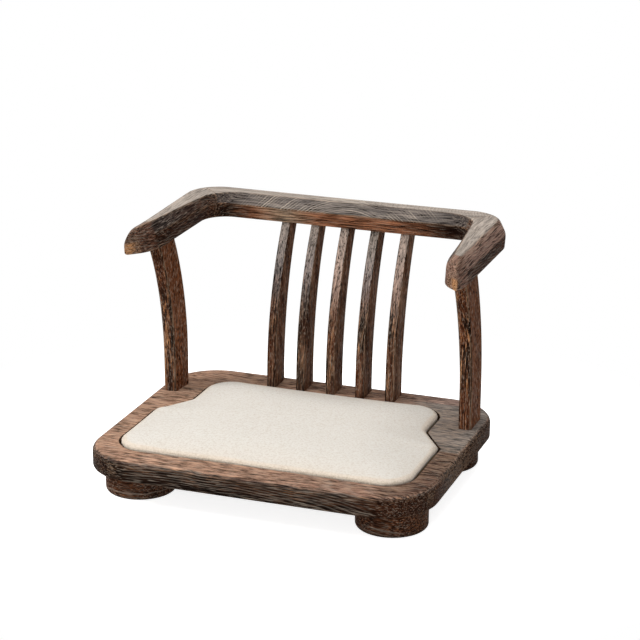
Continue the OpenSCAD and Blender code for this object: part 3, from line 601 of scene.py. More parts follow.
def seat_zones(tree, tones, place, facing):
    """Dark edges, painted shade on the right side and towards the lower edge, a rose tone towards the
    right, and grey wood round the right post.
    """
    upwards = tree.fade(facing[2], 0.75, 0.95)
    upright = steep(tree, facing)
    right = tree.product(tree.fade(place[0], -0.12, 0.2), 0.9)
    corner = tree.fade(place[0], 0.1, 0.17)
    rim = tree.fade(place[0], 0.165, 0.2)
    # Painted shade on the right side
    shaded_right_side = tree.fade(place[0], 0.12, 0.24)
    front = tree.fade(place[1], REAR_SEAM + 0.002, REAR_SEAM - 0.002)
    rear = tree.fade(place[1], REAR_SEAM - 0.002, REAR_SEAM + 0.002)
    grey = tree.within(place[1], REAR_SEAM, SEAT_HIGH.y - 0.033, 0.003)
    pale = tree.fade(place[1], SEAT_HIGH.y - 0.036, SEAT_HIGH.y - 0.03)
    # Painted shade towards the lower edge
    below = tree.fade(place[2], SEAT_LOW.z + 0.016, SEAT_LOW.z + 0.003)
    return [
        (tones.tan, 0.9, upwards),
        (tones.rose, 0.95, upwards, right),
        (tones.dark, 1.0, upwards, right, 0.18),
        (tones.slate, 0.6, upwards, grey, corner),
        (tones.taupe, 0.7, upwards, grey, corner, 0.35),
        (tones.pink, 0.6, upwards, pale, corner, 0.65),
        (tones.dark, 1.0, upwards, rim, front, 0.62),
        (tones.dark, 1.0, upwards, rim, rear, 0.12),
        (tones.dark, 1.0, upright, 0.75),
        # Painted shade towards the lower edge and on the right side, in deep and red-brown
        (tones.deep, 0.9, upright, below, 0.6),
        (tones.deep, 0.9, upright, shaded_right_side, 0.8),
        (tones.red, 0.9, upright, shaded_right_side, 0.2),
    ]


def foot_zones(tree, tones, place, facing):
    """Brown sides, a little redder than the rest, with painted shade towards the seat and the floor."""
    upright = steep(tree, facing)
    # Painted shade towards the seat and the floor
    shade_near_seat = tree.fade(place[2], FOOT_HIGH.z - 0.014, FOOT_HIGH.z - 0.002)
    shade_near_floor = tree.fade(place[2], 0.007, 0.001)
    return [
        (tones.middle, 0.9, upright, 0.5),
        (tones.red, 0.8, upright, 0.2),
        (tones.deep, 0.9, tree.math("MAXIMUM", shade_near_seat, shade_near_floor), 0.6),
    ]


THREAD_SCALE = 290.0
# How often the linen's threads swerve over a metre, and how far
SWERVE_SCALE, SWERVE = (30, 30, 30), (0.0025, 0.0025, 0.0025)


def linen():
    """Plain woven linen, with threads of uneven thickness."""
    tones = bpy.context.scene.chair.other
    material, tree = new_material("linen")
    place = tree.coordinates("Object")
    place = tree.vector_math("MULTIPLY_ADD", tree.drift(place, SWERVE_SCALE), SWERVE, place)
    threads = []
    for turn_z, slub in ((0.0, (900, 24, 300)), (math.pi / 2, (24, 900, 300))):
        across = tree.rotated(place, (0, 0, turn_z))
        wave = tree.node("ShaderNodeTexWave", {"Vector": across, "Scale": THREAD_SCALE})
        uneven = tree.noise(tree.scaled(place, slub), 2)
        threads.append(tree.product(wave, tree.spread(uneven, 0.5, 1.4)))
    weave = tree.product(tree.math("ADD", *threads), 0.5)
    mottle = tree.noise(tree.scaled(place, (330, 330, 330)), 2, 0.7)
    upwards = tree.parts(tree.coordinates("Normal"))[2]
    shade = tree.math("MULTIPLY_ADD", mottle, -1.7, tree.spread(weave, 0.5, 0.0))
    # Painted shade and a painted warm tone on the cover's sides, where it turns down
    shade = tree.math("MULTIPLY_ADD", tree.fade(upwards, 0.99, 0.6), 0.2, shade)
    turned_down_shade = tree.product(tree.fade(upwards, 0.998, 0.94), 0.75)
    ground = tree.mix(turned_down_shade, opaque(tones.linen), opaque(tones.linen_edge_shade))
    cloth = tree.mix(tree.math("ADD", shade, 0.71), ground, opaque(tones.linen_shade))
    bump = tree.bump(tree.math("MULTIPLY_ADD", mottle, 0.5, weave), 0.0006, 0.8)
    tree.surface(cloth, tree.spread(weave, 0.95, 0.8), bump, {"Sheen Weight": 0.25, "Sheen Roughness": 0.5})
    return material


def birch():
    """Raw pale wood of the parts that the joints hide."""
    tones = bpy.context.scene.chair.other
    material, tree = new_material("birch")
    lines = tree.noise(tree.scaled(tree.coordinates("Object"), (12, 500, 500)), 4, 0.6)
    wood = tree.mix(tree.fade(lines, 0.42, 0.66), opaque(tones.birch), opaque(tones.birch_line))
    tree.surface(wood, tree.spread(lines, 0.8, 0.6), tree.bump(lines, 0.0003, 0.3))
    return material


def zinc():
    """Zinc-plated steel with faint turning marks."""
    tones = bpy.context.scene.chair.other
    material, tree = new_material("zinc")
    marks = tree.noise(tree.scaled(tree.coordinates("Object"), (400, 400, 2600)), 3)
    metal = tree.mix(tree.spread(marks, 0.0, 0.35), opaque(tones.zinc), opaque(0.25))
    tree.surface(metal, tree.spread(marks, 0.25, 0.45), tree.bump(marks, 0.0001, 0.2), {"Metallic": 1.0})
    return material


# Meshes

SMOOTH_LIMIT = math.radians(38)
# Bends at which the painted edge highlight and worn tone begin and are full
BEND_START, BEND_FULL = math.radians(5), math.radians(17)
# Points nearer to each other than this are one point
MERGE = 1e-5
# A vector shorter than this has no direction
NO_LENGTH = 1e-6
# A face is level if the share of its normal along Z is at least this
LEVEL = 0.9999
ARC_STEPS = 4
# Distance of the point beside an arc, and the most that arc and point may take of a side
ARC_BESIDE, ARC_SHARE, BESIDE_SHARE = 0.0008, 0.42, 0.06


def mark_bend(shape):
    """Stores at each point how sharply the surface bends there, from 0 to 1."""
    layer = shape.verts.layers.float.new(BEND)
    for point in shape.verts:
        normals = [face.normal for face in point.link_faces if face.normal.length > 0.5]
        bend = max((a.angle(b) for i, a in enumerate(normals) for b in normals[:i]), default=0.0)
        point[layer] = min(1.0, max(0.0, (bend - BEND_START) / (BEND_FULL - BEND_START)))


def as_mesh(shape, name):
    """Turns a bmesh into a mesh, and frees it."""
    mesh = bpy.data.meshes.new(name)
    shape.to_mesh(mesh)
    shape.free()
    return mesh


def merged_shape(mesh):
    """A bmesh of a mesh, with its points merged where they meet."""
    shape = bmesh.new()
    shape.from_mesh(mesh)
    bmesh.ops.remove_doubles(shape, verts=shape.verts, dist=MERGE)
    return shape


def new_object(name, data):
    """A new object in the scene."""
    made = bpy.data.objects.new(name, data)
    bpy.context.scene.collection.objects.link(made)
    return made


def add_piece(name, mesh, material, nodes):
    """Puts a finished mesh into the scene in place of its CAD nodes."""
    piece = new_object(name, mesh)
    mesh.materials.clear()
    mesh.materials.append(material)
    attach(piece, BODY)
    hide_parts(*nodes)
    return piece


def add_wood(name, shape, material, nodes, number=0.0):
    """Adds a bmesh as a piece with the bend of its edges, which places the painted highlight and worn tone
    there, and its piece number. Only level faces are shaded flat.
    """
    shape.normal_update()
    mark_bend(shape)
    if PIECE_NUMBER not in shape.verts.layers.float:
        layer = shape.verts.layers.float.new(PIECE_NUMBER)
        for point in shape.verts:
            point[layer] = number
    mesh = as_mesh(shape, name)
    mesh.set_sharp_from_angle(angle=SMOOTH_LIMIT)
    for face in mesh.polygons:
        face.use_smooth = abs(face.normal.z) < LEVEL
    return add_piece(name, mesh, material, nodes)


def rounded_section(corners, radii):
    """A section's corners turned into short arcs, with a point beside each end of an arc."""
    points = []
    for i, (corner, radius) in enumerate(zip(corners, radii)):
        before, after = corners[i - 1] - corner, corners[(i + 1) % len(corners)] - corner
        side = min(before.length, after.length)
        reach = min(radius, ARC_SHARE * side)
        beside = min(ARC_BESIDE, BESIDE_SHARE * side)
        start, end = corner + reach * before.normalized(), corner + reach * after.normalized()
        points.append(start + beside * before.normalized())
        for step in range(ARC_STEPS + 1):
            u = step / ARC_STEPS
            points.append((1 - u) ** 2 * start + 2 * u * (1 - u) * corner + u * u * end)
        points.append(end + beside * after.normalized())
    return points


def skinned(shape, rows):
    """Closes a bmesh over the rows of its points, where a row of one point makes a fan."""
    count = max(len(row) for row in rows)
    for row, following in zip(rows, rows[1:]):
        for k in range(count):
            corners = [row[k % len(row)], row[(k + 1) % len(row)]]
            corners += [following[(k + 1) % len(following)], following[k % len(following)]]
            shape.faces.new(list(dict.fromkeys(corners)))
    bmesh.ops.recalc_face_normals(shape, faces=shape.faces)
    return shape


def loft(rings):
    """A closed skin over rings of equal length, with a fan over each end."""
    shape = bmesh.new()
    rows = [[shape.verts.new(point) for point in ring] for ring in rings]
    first, last = ([shape.verts.new(sum(ring, Vector()) / len(ring))] for ring in (rings[0], rings[-1]))
    return skinned(shape, [first, *rows, last])


def turned(profile, segments):
    """A form turned about Z from its profile of (radius, height), which starts and ends on the axis."""
    shape = bmesh.new()
    rows = []
    for radius, z in profile:
        angles = [2 * math.pi * k / segments for k in range(segments if radius > MERGE else 1)]
        rows.append([shape.verts.new((radius * math.cos(a), radius * math.sin(a), z)) for a in angles])
    return skinned(shape, rows)


def mirrored(shape):
    """The same shape on the chair's other side."""
    other = shape.copy()
    other.transform(Matrix.Scale(-1, 4, (1, 0, 0)))
    bmesh.ops.reverse_faces(other, faces=other.faces)
    return other


def together(shapes):
    """Several shapes as one, which keep their own piece numbers."""
    whole = bmesh.new()
    layer = whole.verts.layers.float.new(PIECE_NUMBER)
    for number, shape in enumerate(shapes):
        part = as_mesh(shape, "part")
        known = set(whole.verts)
        whole.from_mesh(part)
        bpy.data.meshes.remove(part)
        for point in whole.verts:
            if point not in known:
                point[layer] = number
    return whole


def plane_cut(shape, point, away, clear_outer=False):
    """Cuts a shape along a plane, and returns what lies on the cut."""
    everything = shape.verts[:] + shape.edges[:] + shape.faces[:]
    return bmesh.ops.bisect_plane(
        shape, geom=everything, plane_co=point, plane_no=away, clear_outer=clear_outer
    )["geom_cut"]


def cut_with_groove(shape, point, away, groove):
    """Cuts off what lies beyond a plane, closes the cut and draws its rim in, as a fine line.

    away points from the part that stays to the part that goes.
    """
    plane_cut(shape, point - groove * away, away)
    made = [part for part in plane_cut(shape, point, away, True) if part.is_valid]
    shape.normal_update()
    for vert in made:
        if not isinstance(vert, bmesh.types.BMVert):
            continue
        across = vert.normal - vert.normal.dot(away) * away
        if across.length > NO_LENGTH:
            vert.co -= across.normalized() * groove
    edges = [part for part in made if isinstance(part, bmesh.types.BMEdge)]
    bmesh.ops.holes_fill(shape, edges=edges, sides=0)
    bmesh.ops.recalc_face_normals(shape, faces=shape.faces)


# The rail

NOSE_STEPS, ARM_STEPS, CORNER_STEPS, CREST_STEPS = 40, 6, 28, 10
# Rows next to the end face that are left out, as they lie too close together
TIP_ROWS = 5
# How far the two rings on the end face are drawn towards its centre, as shares
FACE_INSET, FACE_EDGE_INSET = 0.2, 0.06
# How far the outer one is set back, as a share of the bevel
FACE_SETBACK = 0.4


def rail_edges(sizes):
    """The six edges of the rail's right half, with lengths from the middle of the seat.

    Their order is: outer top, outer crease, outer bottom, inner bottom, inner crease, inner top.
    """
    top = CREST_HIGH.z
    bottom = top - sizes.thickness
    outer = ARM_HIGH.x
    top_x = outer - sizes.arm_top_inset
    rear = CREST_HIGH.y - SEAT_MIDDLE.y
    front = rear - sizes.crest_depth
    inner_y = front + sizes.crest_bulge
    along = Vector((-math.cos(sizes.nose_face_turn), math.sin(sizes.nose_face_turn)))
    nose_outer = Vector((outer - sizes.nose_tuck, -sizes.arm_reach))
    nose_inner = nose_outer + sizes.nose_face_width * along
    face_top = top - sizes.nose_drop
    face_bottom = face_top - sizes.nose_face_height
    side_y = sizes.nose_side_length - sizes.arm_reach
    top_y = sizes.nose_top_length - sizes.arm_reach
    tuck, bevel = sizes.rear_tuck, sizes.nose_bevel
    wide = sizes.corner_outer + sizes.arm_top_inset

    def edge(x, y, radius, z, tip, tip_z, taper=0, dip=0, turn_y=side_y):
        return {
            "x": x, "taper": taper, "y": y, "radius": radius, "z": z, "dip": dip,
            "turn_y": turn_y, "tip": Vector((*tip, tip_z)),
        }

    return [
        edge(top_x, inner_y + sizes.crest_top_depth, sizes.corner_outer, top,
             nose_outer + bevel * along, face_top + bevel, dip=sizes.arm_dip, turn_y=top_y),
        edge(outer, rear, wide, top - sizes.outer_drop, nose_outer, face_top),
        edge(outer - tuck, rear - tuck, wide - tuck, bottom - sizes.under_slope, nose_outer, face_bottom),
        edge(outer - sizes.arm_under_width, inner_y, sizes.corner_under, bottom, nose_inner, face_bottom),
        edge(outer - sizes.arm_crease_width, front, sizes.corner_crease, top - sizes.inner_drop,
             nose_inner, face_top, taper=sizes.arm_crease_taper),
        edge(top_x - sizes.arm_top_width, inner_y, sizes.corner_inner, top,
             nose_inner - bevel * along, face_top + bevel, taper=sizes.arm_top_taper, turn_y=top_y),
    ]


def round_off(share):
    """How far a quarter circle has fallen at a share of its reach."""
    return 1 - math.sqrt(1 - min(1.0, max(0.0, share)) ** 2)


def between(first, last, steps):
    """Rows of points that lead from one row towards another, without the last."""
    return [[a.lerp(b, i / steps) for a, b in zip(first, last)] for i in range(steps)]


def rail_rings(sizes, edges):
    """Rings of rounded sections from the right nose round to the left one."""
    back_y = edges[0]["y"] - edges[0]["radius"]
    side_y = sizes.nose_side_length - sizes.arm_reach

    def arm_x(edge, y):
        return edge["x"] - edge["taper"] * y

    def arm_z(edge, y):
        return edge["z"] - edge["dip"] * max(0.0, back_y - y) / (back_y + sizes.arm_reach)

    def nose_row(u):
        row = []
        for edge in edges:
            tip = edge["tip"]
            y = side_y + (tip.y - side_y) * u
            x = arm_x(edge, y) + (tip.x - arm_x(edge, tip.y)) * round_off(u)
            share = (edge["turn_y"] - y) / (edge["turn_y"] - tip.y)
            z = arm_z(edge, y) + (tip.z - arm_z(edge, tip.y)) * round_off(share)
            row.append(Vector((x, y, z)))
        return row

    def corner_row(share):
        row = []
        for edge in edges:
            start = math.atan(edge["taper"])
            angle = start + (math.pi / 2 - start) * share
            y = edge["y"] - edge["radius"]
            x = arm_x(edge, y) - edge["radius"] * math.sqrt(1 + edge["taper"] ** 2)
            y += edge["radius"] * math.sin(angle)
            row.append(Vector((x + edge["radius"] * math.cos(angle), y, arm_z(edge, y))))
        return row

    def radii(row):
        """Roundings of the six edges, which grow towards the nose."""
        near = min(1.0, (row[1].y + sizes.arm_reach) / sizes.nose_top_length)
        usual = [sizes.outer_round] * 2 + [sizes.edge_round] * 4
        return [sizes.nose_round + (value - sizes.nose_round) * near for value in usual]

    rows = [nose_row(math.cos(math.pi / 2 * i / NOSE_STEPS)) for i in range(NOSE_STEPS)]
    rows += between(nose_row(0), corner_row(0), ARM_STEPS)
    rows += [corner_row(i / CORNER_STEPS) for i in range(CORNER_STEPS)]
    crest = corner_row(1)
    middle = [Vector((0, point.y, point.z)) for point in crest]
    rows += between(crest, middle, CREST_STEPS)
    rows += [middle] + [[Vector((-p.x, p.y, p.z)) for p in row] for row in reversed(rows)]

    rings = [rounded_section(row, radii(row)) for row in rows]
    faces = (rings[0], rings[-1])
    rings = rings[TIP_ROWS:-TIP_ROWS]
    for face, side in zip(faces, (1, -1)):
        forward = Vector((-side * math.sin(sizes.nose_face_turn), -math.cos(sizes.nose_face_turn), 0))
        centre = sum(face, Vector()) / len(face)
        inner = [point.lerp(centre, FACE_INSET) for point in face]
        setback = forward * sizes.nose_bevel * FACE_SETBACK
        edge = [point.lerp(centre, FACE_EDGE_INSET) - setback for point in face]
        rings = [inner, edge] + rings if side > 0 else rings + [edge, inner]
    offset = Vector((0, SEAT_MIDDLE.y, 0))
    return [[point + offset for point in ring] for ring in rings]


class CHAIR_OT_build_rail(bpy.types.Operator):
    """Lays the faceted rail round the back and both arms, and parts it at the mitres"""

    bl_idname = "chair.build_rail"
    bl_label = "Build rail"

    def execute(self, context):
        sizes = context.scene.chair.rail
        edges = rail_edges(sizes)
        whole = loft(rail_rings(sizes, edges))
        mitre = Vector((edges[0]["x"] - edges[0]["y"], SEAT_MIDDLE.y, 0))
        arms_away = Vector((1, -1, 0)).normalized()
        flip = Vector((-1, 1, 1))
        crest = whole.copy()
        cut_with_groove(crest, mitre, arms_away, sizes.groove)
        cut_with_groove(crest, mitre * flip, arms_away * flip, sizes.groove)
        right = whole.copy()
        cut_with_groove(right, mitre, -arms_away, sizes.groove)
        whole.free()
        left = mirrored(right)
        crest_wood = walnut(
            "crest_walnut", GRAIN_X, ((0.012, 0, CREST_HIGH.z - 0.06), (0.65, 1, 1), 0.0028), crest_zones,
            red=0.6, curl=0.1, ridges=0.9, span=0.15,
        )
        arm_wood = walnut(
            "arm_walnut", GRAIN_Y, ((0.0, 0, CREST_HIGH.z - 0.4), (0.4, 1.6, 1.2), 0.0050), arm_zones,
            red=0.6, curl=0.1, ridges=0.3,
        )
        add_wood("crest", crest, crest_wood, ["crest_rail"])
        add_wood("right_arm", right, arm_wood, ["right_arm_rail"], 1)
        add_wood("left_arm", left, arm_wood, ["left_arm_rail"], 2)
        return {"FINISHED"}


# Posts and slats

POST_STRAIGHT_STEPS, POST_BENT_STEPS = 6, 40
SLAT_STEPS = 48
UPRIGHT_SPECKS = (150, 400, 700)


class CHAIR_OT_build_posts(bpy.types.Operator):
    """Sweeps the two arm posts, straight at the foot and bent forwards above"""

    bl_idname = "chair.build_posts"
    bl_label = "Build arm posts"

    def execute(self, context):
        sizes = context.scene.chair.upright
        rail = context.scene.chair.rail
        outer = POST_HIGH.x
        radius = sizes.post_radius
        front_y = SEAT_HIGH.y - sizes.post_inset
        arc_y = front_y - radius
        arc_z = SEAT_HIGH.z + sizes.post_straight
        section = rounded_section([
            Vector((0, outer - sizes.post_front_width)),
            Vector((sizes.post_depth - sizes.post_rear_slant, outer - sizes.post_rear_width)),
            Vector((sizes.post_depth, outer)),
            Vector((0, outer)),
        ], [sizes.post_round] * 4)
        low_z = SEAT_HIGH.z - sizes.post_embed
        end_z = CREST_HIGH.z - rail.thickness + sizes.post_embed
        end_angle = math.asin((end_z - arc_z) / radius)
        rings = []
        for i in range(POST_STRAIGHT_STEPS):
            z = low_z + (arc_z - low_z) * i / POST_STRAIGHT_STEPS
            rings.append([Vector((x, front_y + back, z)) for back, x in section])
        for i in range(POST_BENT_STEPS + 1):
            angle = end_angle * i / POST_BENT_STEPS
            away = Vector((0, math.cos(angle), math.sin(angle)))
            rings.append([Vector((x, arc_y, arc_z)) + (radius + back) * away for back, x in section])
        right = loft(rings)
        wood = walnut(
            "post_walnut", GRAIN_Z, ((0.1, 0, 0.05), (1.0, 1, 0.3), 0.0045), upright_zones,
            red=0.8, curl=0.2, ridges=0.08, grey=0.5, depth=200, specks=UPRIGHT_SPECKS,
        )
        posts = together([right, mirrored(right)])
        add_wood("arm_posts", posts, wood, ["left_arm_post", "right_arm_post"])
        return {"FINISHED"}


def baked(source, name):
    """The evaluated mesh of an object, which is removed."""
    graph = bpy.context.evaluated_depsgraph_get()
    mesh = bpy.data.meshes.new_from_object(source.evaluated_get(graph))
    mesh.name = name
    old = source.data
    bpy.data.objects.remove(source)
    bpy.data.meshes.remove(old)
    return mesh


def patterned(mesh, tree, values, name):
    """The mesh that a geometry tree makes of a mesh. The tree's inputs are set by their names."""
    source = new_object("source", mesh)
    modifier = source.modifiers.new("pattern", "NODES")
    modifier.node_group = tree
    for item in tree.interface.items_tree:
        if item.item_type == "SOCKET" and item.in_out == "INPUT" and item.name in values:
            modifier[item.identifier] = values[item.name]
    return baked(source, name)


def new_geometry_tree(name, inputs):
    """A geometry tree with named inputs, and the outlets that give them."""
    group = bpy.data.node_groups.new(name, "GeometryNodeTree")
    group.interface.new_socket("Geometry", in_out="INPUT", socket_type="NodeSocketGeometry")
    for label, kind in inputs.items():
        group.interface.new_socket(label, in_out="INPUT", socket_type=kind)
    group.interface.new_socket("Geometry", in_out="OUTPUT", socket_type="NodeSocketGeometry")
    return Tree(group), group.nodes.new("NodeGroupInput").outputs


def end_geometry_tree(tree, points, instance, material):
    """Sets the instance at each point with its number, and ends the tree."""
    placed = tree.node("GeometryNodeInstanceOnPoints", {"Points": points, "Instance": instance})
    number = {"Geometry": placed, "Name": PIECE_NUMBER, "Value": tree.node("GeometryNodeInputIndex")}
    on_instances = {"domain": "INSTANCE", "data_type": "FLOAT"}
    numbered = tree.node("GeometryNodeStoreNamedAttribute", number, on_instances)
    real = tree.node("GeometryNodeRealizeInstances", {"Geometry": numbered})
    covered = tree.node("GeometryNodeSetMaterial", {"Geometry": real, "Material": material})
    tree.node("NodeGroupOutput", {"Geometry": covered})
    return tree.tree


def slat_tree():
    """Bars with rounded edges, bent to one radius in front and another behind, in a row."""
    lengths = (
        "Width", "Depth", "Rounding", "Front Radius", "Rear Radius", "Front Place",
        "Upright Height", "Low End", "High End", "Pitch",
    )
    inputs = {label: "NodeSocketFloat" for label in lengths}
    inputs.update({"Count": "NodeSocketInt", "Material": "NodeSocketMaterial"})
    tree, given = new_geometry_tree("bent_slats", inputs)

    ends = {"Start": tree.vector(Z=given["Low End"]), "End": tree.vector(Z=given["High End"])}
    line = tree.node("GeometryNodeCurvePrimitiveLine", ends)
    line = tree.node("GeometryNodeResampleCurve", {"Curve": line, "Count": SLAT_STEPS})
    sides = {"Width": given["Width"], "Height": given["Depth"]}
    outline = tree.node("GeometryNodeCurvePrimitiveQuadrilateral", sides)
    rounding = {"Curve": outline, "Count": ARC_STEPS, "Radius": given["Rounding"]}
    outline = tree.node("GeometryNodeFilletCurve", rounding, {"mode": "POLY"})
    form = {"Curve": line, "Profile Curve": outline, "Fill Caps": True}
    bar = tree.node("GeometryNodeCurveToMesh", form)
    x, y, z = tree.parts(tree.node("GeometryNodeInputPosition"))
    rise = tree.math("SUBTRACT", z, given["Upright Height"])

    def sweep(place, radius, beside):
        """The Y of a bent face, given its place at the foot, its radius and the distance from it."""
        inside = tree.math("SUBTRACT", tree.math("POWER", radius, 2.0), tree.math("POWER", rise, 2.0))
        bend = tree.math("SUBTRACT", radius, tree.math("SQRT", inside))
        return tree.math("ADD", tree.math("ADD", place, bend), beside)

    half = tree.product(given["Depth"], 0.5)
    rear_place = tree.math("ADD", given["Front Place"], given["Depth"])
    front = sweep(given["Front Place"], given["Front Radius"], tree.math("ADD", y, half))
    rear = sweep(rear_place, given["Rear Radius"], tree.math("SUBTRACT", y, half))
    behind = tree.math("GREATER_THAN", y, 0.0)
    bent_y = tree.node("ShaderNodeMix", {0: behind, 2: front, 3: rear}, {"data_type": "FLOAT"})
    place = tree.vector(X=x, Y=bent_y, Z=z)
    bent = tree.node("GeometryNodeSetPosition", {"Geometry": bar, "Position": place})

    first = tree.product(given["Pitch"], tree.math("SUBTRACT", given["Count"], 1.0), -0.5)
    row = tree.node("GeometryNodeMeshLine", {
        "Count": given["Count"],
        "Start Location": tree.vector(X=first),
        "Offset": tree.vector(X=given["Pitch"]),
    })
    return end_geometry_tree(tree, row, bent, given["Material"])


class CHAIR_OT_build_slats(bpy.types.Operator):
    """Stands the bent back slats in a row between the seat and the crest"""

    bl_idname = "chair.build_slats"
    bl_label = "Build back slats"

    def execute(self, context):
        sizes = context.scene.chair.upright
        rail = context.scene.chair.rail
        wood = walnut(
            "slat_walnut", GRAIN_Z, ((0.0, 0, 0.25), (1.0, 1, 0.12), 0.0040), slat_zones,
            red=1.0, curl=0.12, ridges=0.08, grey=0.5, depth=130, specks=UPRIGHT_SPECKS,
        )
        slats = patterned(bpy.data.meshes.new("slats"), slat_tree(), {
            "Width": sizes.slat_width,
            "Depth": sizes.slat_depth,
            "Rounding": sizes.slat_round,
            "Front Radius": sizes.slat_front_radius,
            "Rear Radius": sizes.slat_rear_radius,
            "Front Place": SEAT_HIGH.y - sizes.slat_inset,
            "Upright Height": SEAT_HIGH.z + sizes.slat_upright,
            "Low End": SEAT_HIGH.z - sizes.slat_embed,
            "High End": CREST_HIGH.z - rail.thickness + sizes.slat_embed,
            "Pitch": SLAT_PITCH,
            "Count": len(SLATS),
            "Material": wood,
        }, "slats")
        shape = merged_shape(slats)
        bmesh.ops.recalc_face_normals(shape, faces=shape.faces)
        add_wood("back_slats", shape, wood, SLATS)
        return {"FINISHED"}


# Feet

FOOT_SEGMENTS, HOLE_SEGMENTS, FOOT_ROUND_STEPS = 128, 32, 8
# Distance of the points beside a foot's roundings, and how far a hole's cutter starts below the floor
FOOT_BESIDE, HOLE_START = 0.001, -0.01


def foot_profile(low, high):
    """A foot's outline, with its lower and its upper edge rounded."""
    radius = (FOOT_HIGH.x - FOOT_LOW.x) / 2
    height = FOOT_HIGH.z
    quarter = [math.pi / 2 * i / FOOT_ROUND_STEPS for i in range(FOOT_ROUND_STEPS + 1)]
    return [
        (0, 0),
        (radius - low - FOOT_BESIDE, 0),
        *((radius - low + low * math.sin(a), low - low * math.cos(a)) for a in quarter),
        (radius, low + FOOT_BESIDE),
        (radius, height - high - FOOT_BESIDE),
        *((radius - high + high * math.cos(a), height - high + high * math.sin(a)) for a in quarter),
        (radius - high - FOOT_BESIDE, height),
        (0, height),
    ]


def corner_tree():
    """The given form in the four corners of a rectangle."""
    tree, given = new_geometry_tree("four_corners", {
        "Distance Across": "NodeSocketFloat", "Distance Back": "NodeSocketFloat",
        "Centre": "NodeSocketVector", "Material": "NodeSocketMaterial",
    })
    grid = tree.node("GeometryNodeMeshGrid", {
        "Size X": given["Distance Across"], "Size Y": given["Distance Back"],
        "Vertices X": 2, "Vertices Y": 2,
    })
    grid = tree.node("GeometryNodeTransform", {"Geometry": grid, "Translation": given["Centre"]})
    return end_geometry_tree(tree, grid, given["Geometry"], given["Material"])


class CHAIR_OT_build_feet(bpy.types.Operator):
    """Turns one round foot with its two screw holes, and sets it under each corner of the seat"""

    bl_idname = "chair.build_feet"
    bl_label = "Build feet"

    def execute(self, context):
        sizes = context.scene.chair.seat
        profile = foot_profile(sizes.foot_bottom_round, sizes.foot_top_round)
        foot = new_object("foot", as_mesh(turned(profile, FOOT_SEGMENTS), "foot"))
        across, depth = sizes.counterbore / 2, sizes.counterbore_depth
        hole_profile = [(0, HOLE_START), (across, HOLE_START), (across, depth), (0, depth)]
        hole = as_mesh(turned(hole_profile, HOLE_SEGMENTS), "hole")
        cutters = []
        for side in (-1, 1):
            cutter = new_object("cutter", hole)
            cutter.location.x = side * sizes.screw_pitch / 2
            cutters.append(cutter)
            drill = foot.modifiers.new("hole", "BOOLEAN")
            drill.object = cutter
            drill.solver = "EXACT"
        context.view_layer.update()
        drilled = baked(foot, "drilled_foot")
        for cutter in cutters:
            bpy.data.objects.remove(cutter)
        bpy.data.meshes.remove(hole)
        rear_low, rear_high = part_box("rear_left_foot")
        front_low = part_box("front_left_foot")[0]
        wood = walnut(
            "foot_walnut", GRAIN_X, ((0.0, 0, -0.22), (0.25, 1, 1), 0.0058), foot_zones,
            red=0.4, curl=0.2, ridges=0.35, grey=0.3,
        )
        feet = patterned(drilled, corner_tree(), {
            "Distance Across": FOOT_HIGH.x + FOOT_LOW.x,
            "Distance Back": rear_low.y - front_low.y,
            "Centre": (0.0, (rear_high.y + front_low.y) / 2, 0.0),
            "Material": wood,
        }, "feet")
        add_wood("feet", merged_shape(feet), wood, FEET)
        return {"FINISHED"}


# Seat

# Step between the boards' piece numbers, so that no grain runs on from one to the next
BOARD_STEP = 1.7
FLAT_LIMIT = math.radians(0.4)
# Width of the seat's rim in which a seam shows on the board's end
RIM = 0.012
# A face looks at the next board if the share of its normal along Y is more than this
ACROSS = 0.99


class CHAIR_OT_build_seat(bpy.types.Operator):
    """Gives the three seat boards their grain and a fine line at each seam"""

    bl_idname = "chair.build_seat"
    bl_label = "Build seat"

    def execute(self, context):
        sizes = context.scene.chair.seat
        wood = walnut(
            "seat_walnut", GRAIN_X, ((-0.06, 0, 0.01), (0.2, 1, 1), 0.0036), seat_zones, top="tan",
            red=0.6, curl=0.15, ridges=0.25, grey=0.45, run=45, depth=240, span=0.17,
        )
        seams = ([(FRONT_SEAM, 1)], [(FRONT_SEAM, -1), (REAR_SEAM, 1)], [(REAR_SEAM, -1)])
        for number, (node, sides) in enumerate(zip(BOARDS, seams)):
            shape = merged_shape(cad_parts[node].data)
            bmesh.ops.dissolve_limit(shape, angle_limit=FLAT_LIMIT, verts=shape.verts, edges=shape.edges)
            for y, side in sides:
                draw_in_seam(shape, y, side, sizes.seam_groove)
            add_wood(node.replace("seat_", ""), shape, wood, [node], number * BOARD_STEP)
        return {"FINISHED"}


def draw_in_seam(shape, y, side, groove):
    """Draws the outer rim of a board in where it meets the next one."""
    plane_cut(shape, Vector((0, y - side * groove, 0)), (0, side, 0))
    shape.normal_update()
    upright = [face for face in shape.faces if abs(face.normal.y) > ACROSS]
    seam_faces = {face for face in upright if abs(face.calc_center_median().y - y) < MERGE}
    for vert in {corner for face in seam_faces for corner in face.verts}:
        outside = [face for face in vert.link_faces if face not in seam_faces and face.calc_area() > 0]
        across = sum((face.normal for face in outside), Vector())
        across.y = 0
        level = vert.co.z > SEAT_HIGH.z - MERGE or vert.co.z < SEAT_LOW.z + MERGE
        if (level or abs(vert.co.x) > SEAT_HIGH.x - RIM) and across.length > NO_LENGTH:
            vert.co -= across.normalized() * groove


# Cushion

CLOTH_FRAMES = 20
# The cover is held up to this height over its underside
HELD_HEIGHT = 0.012


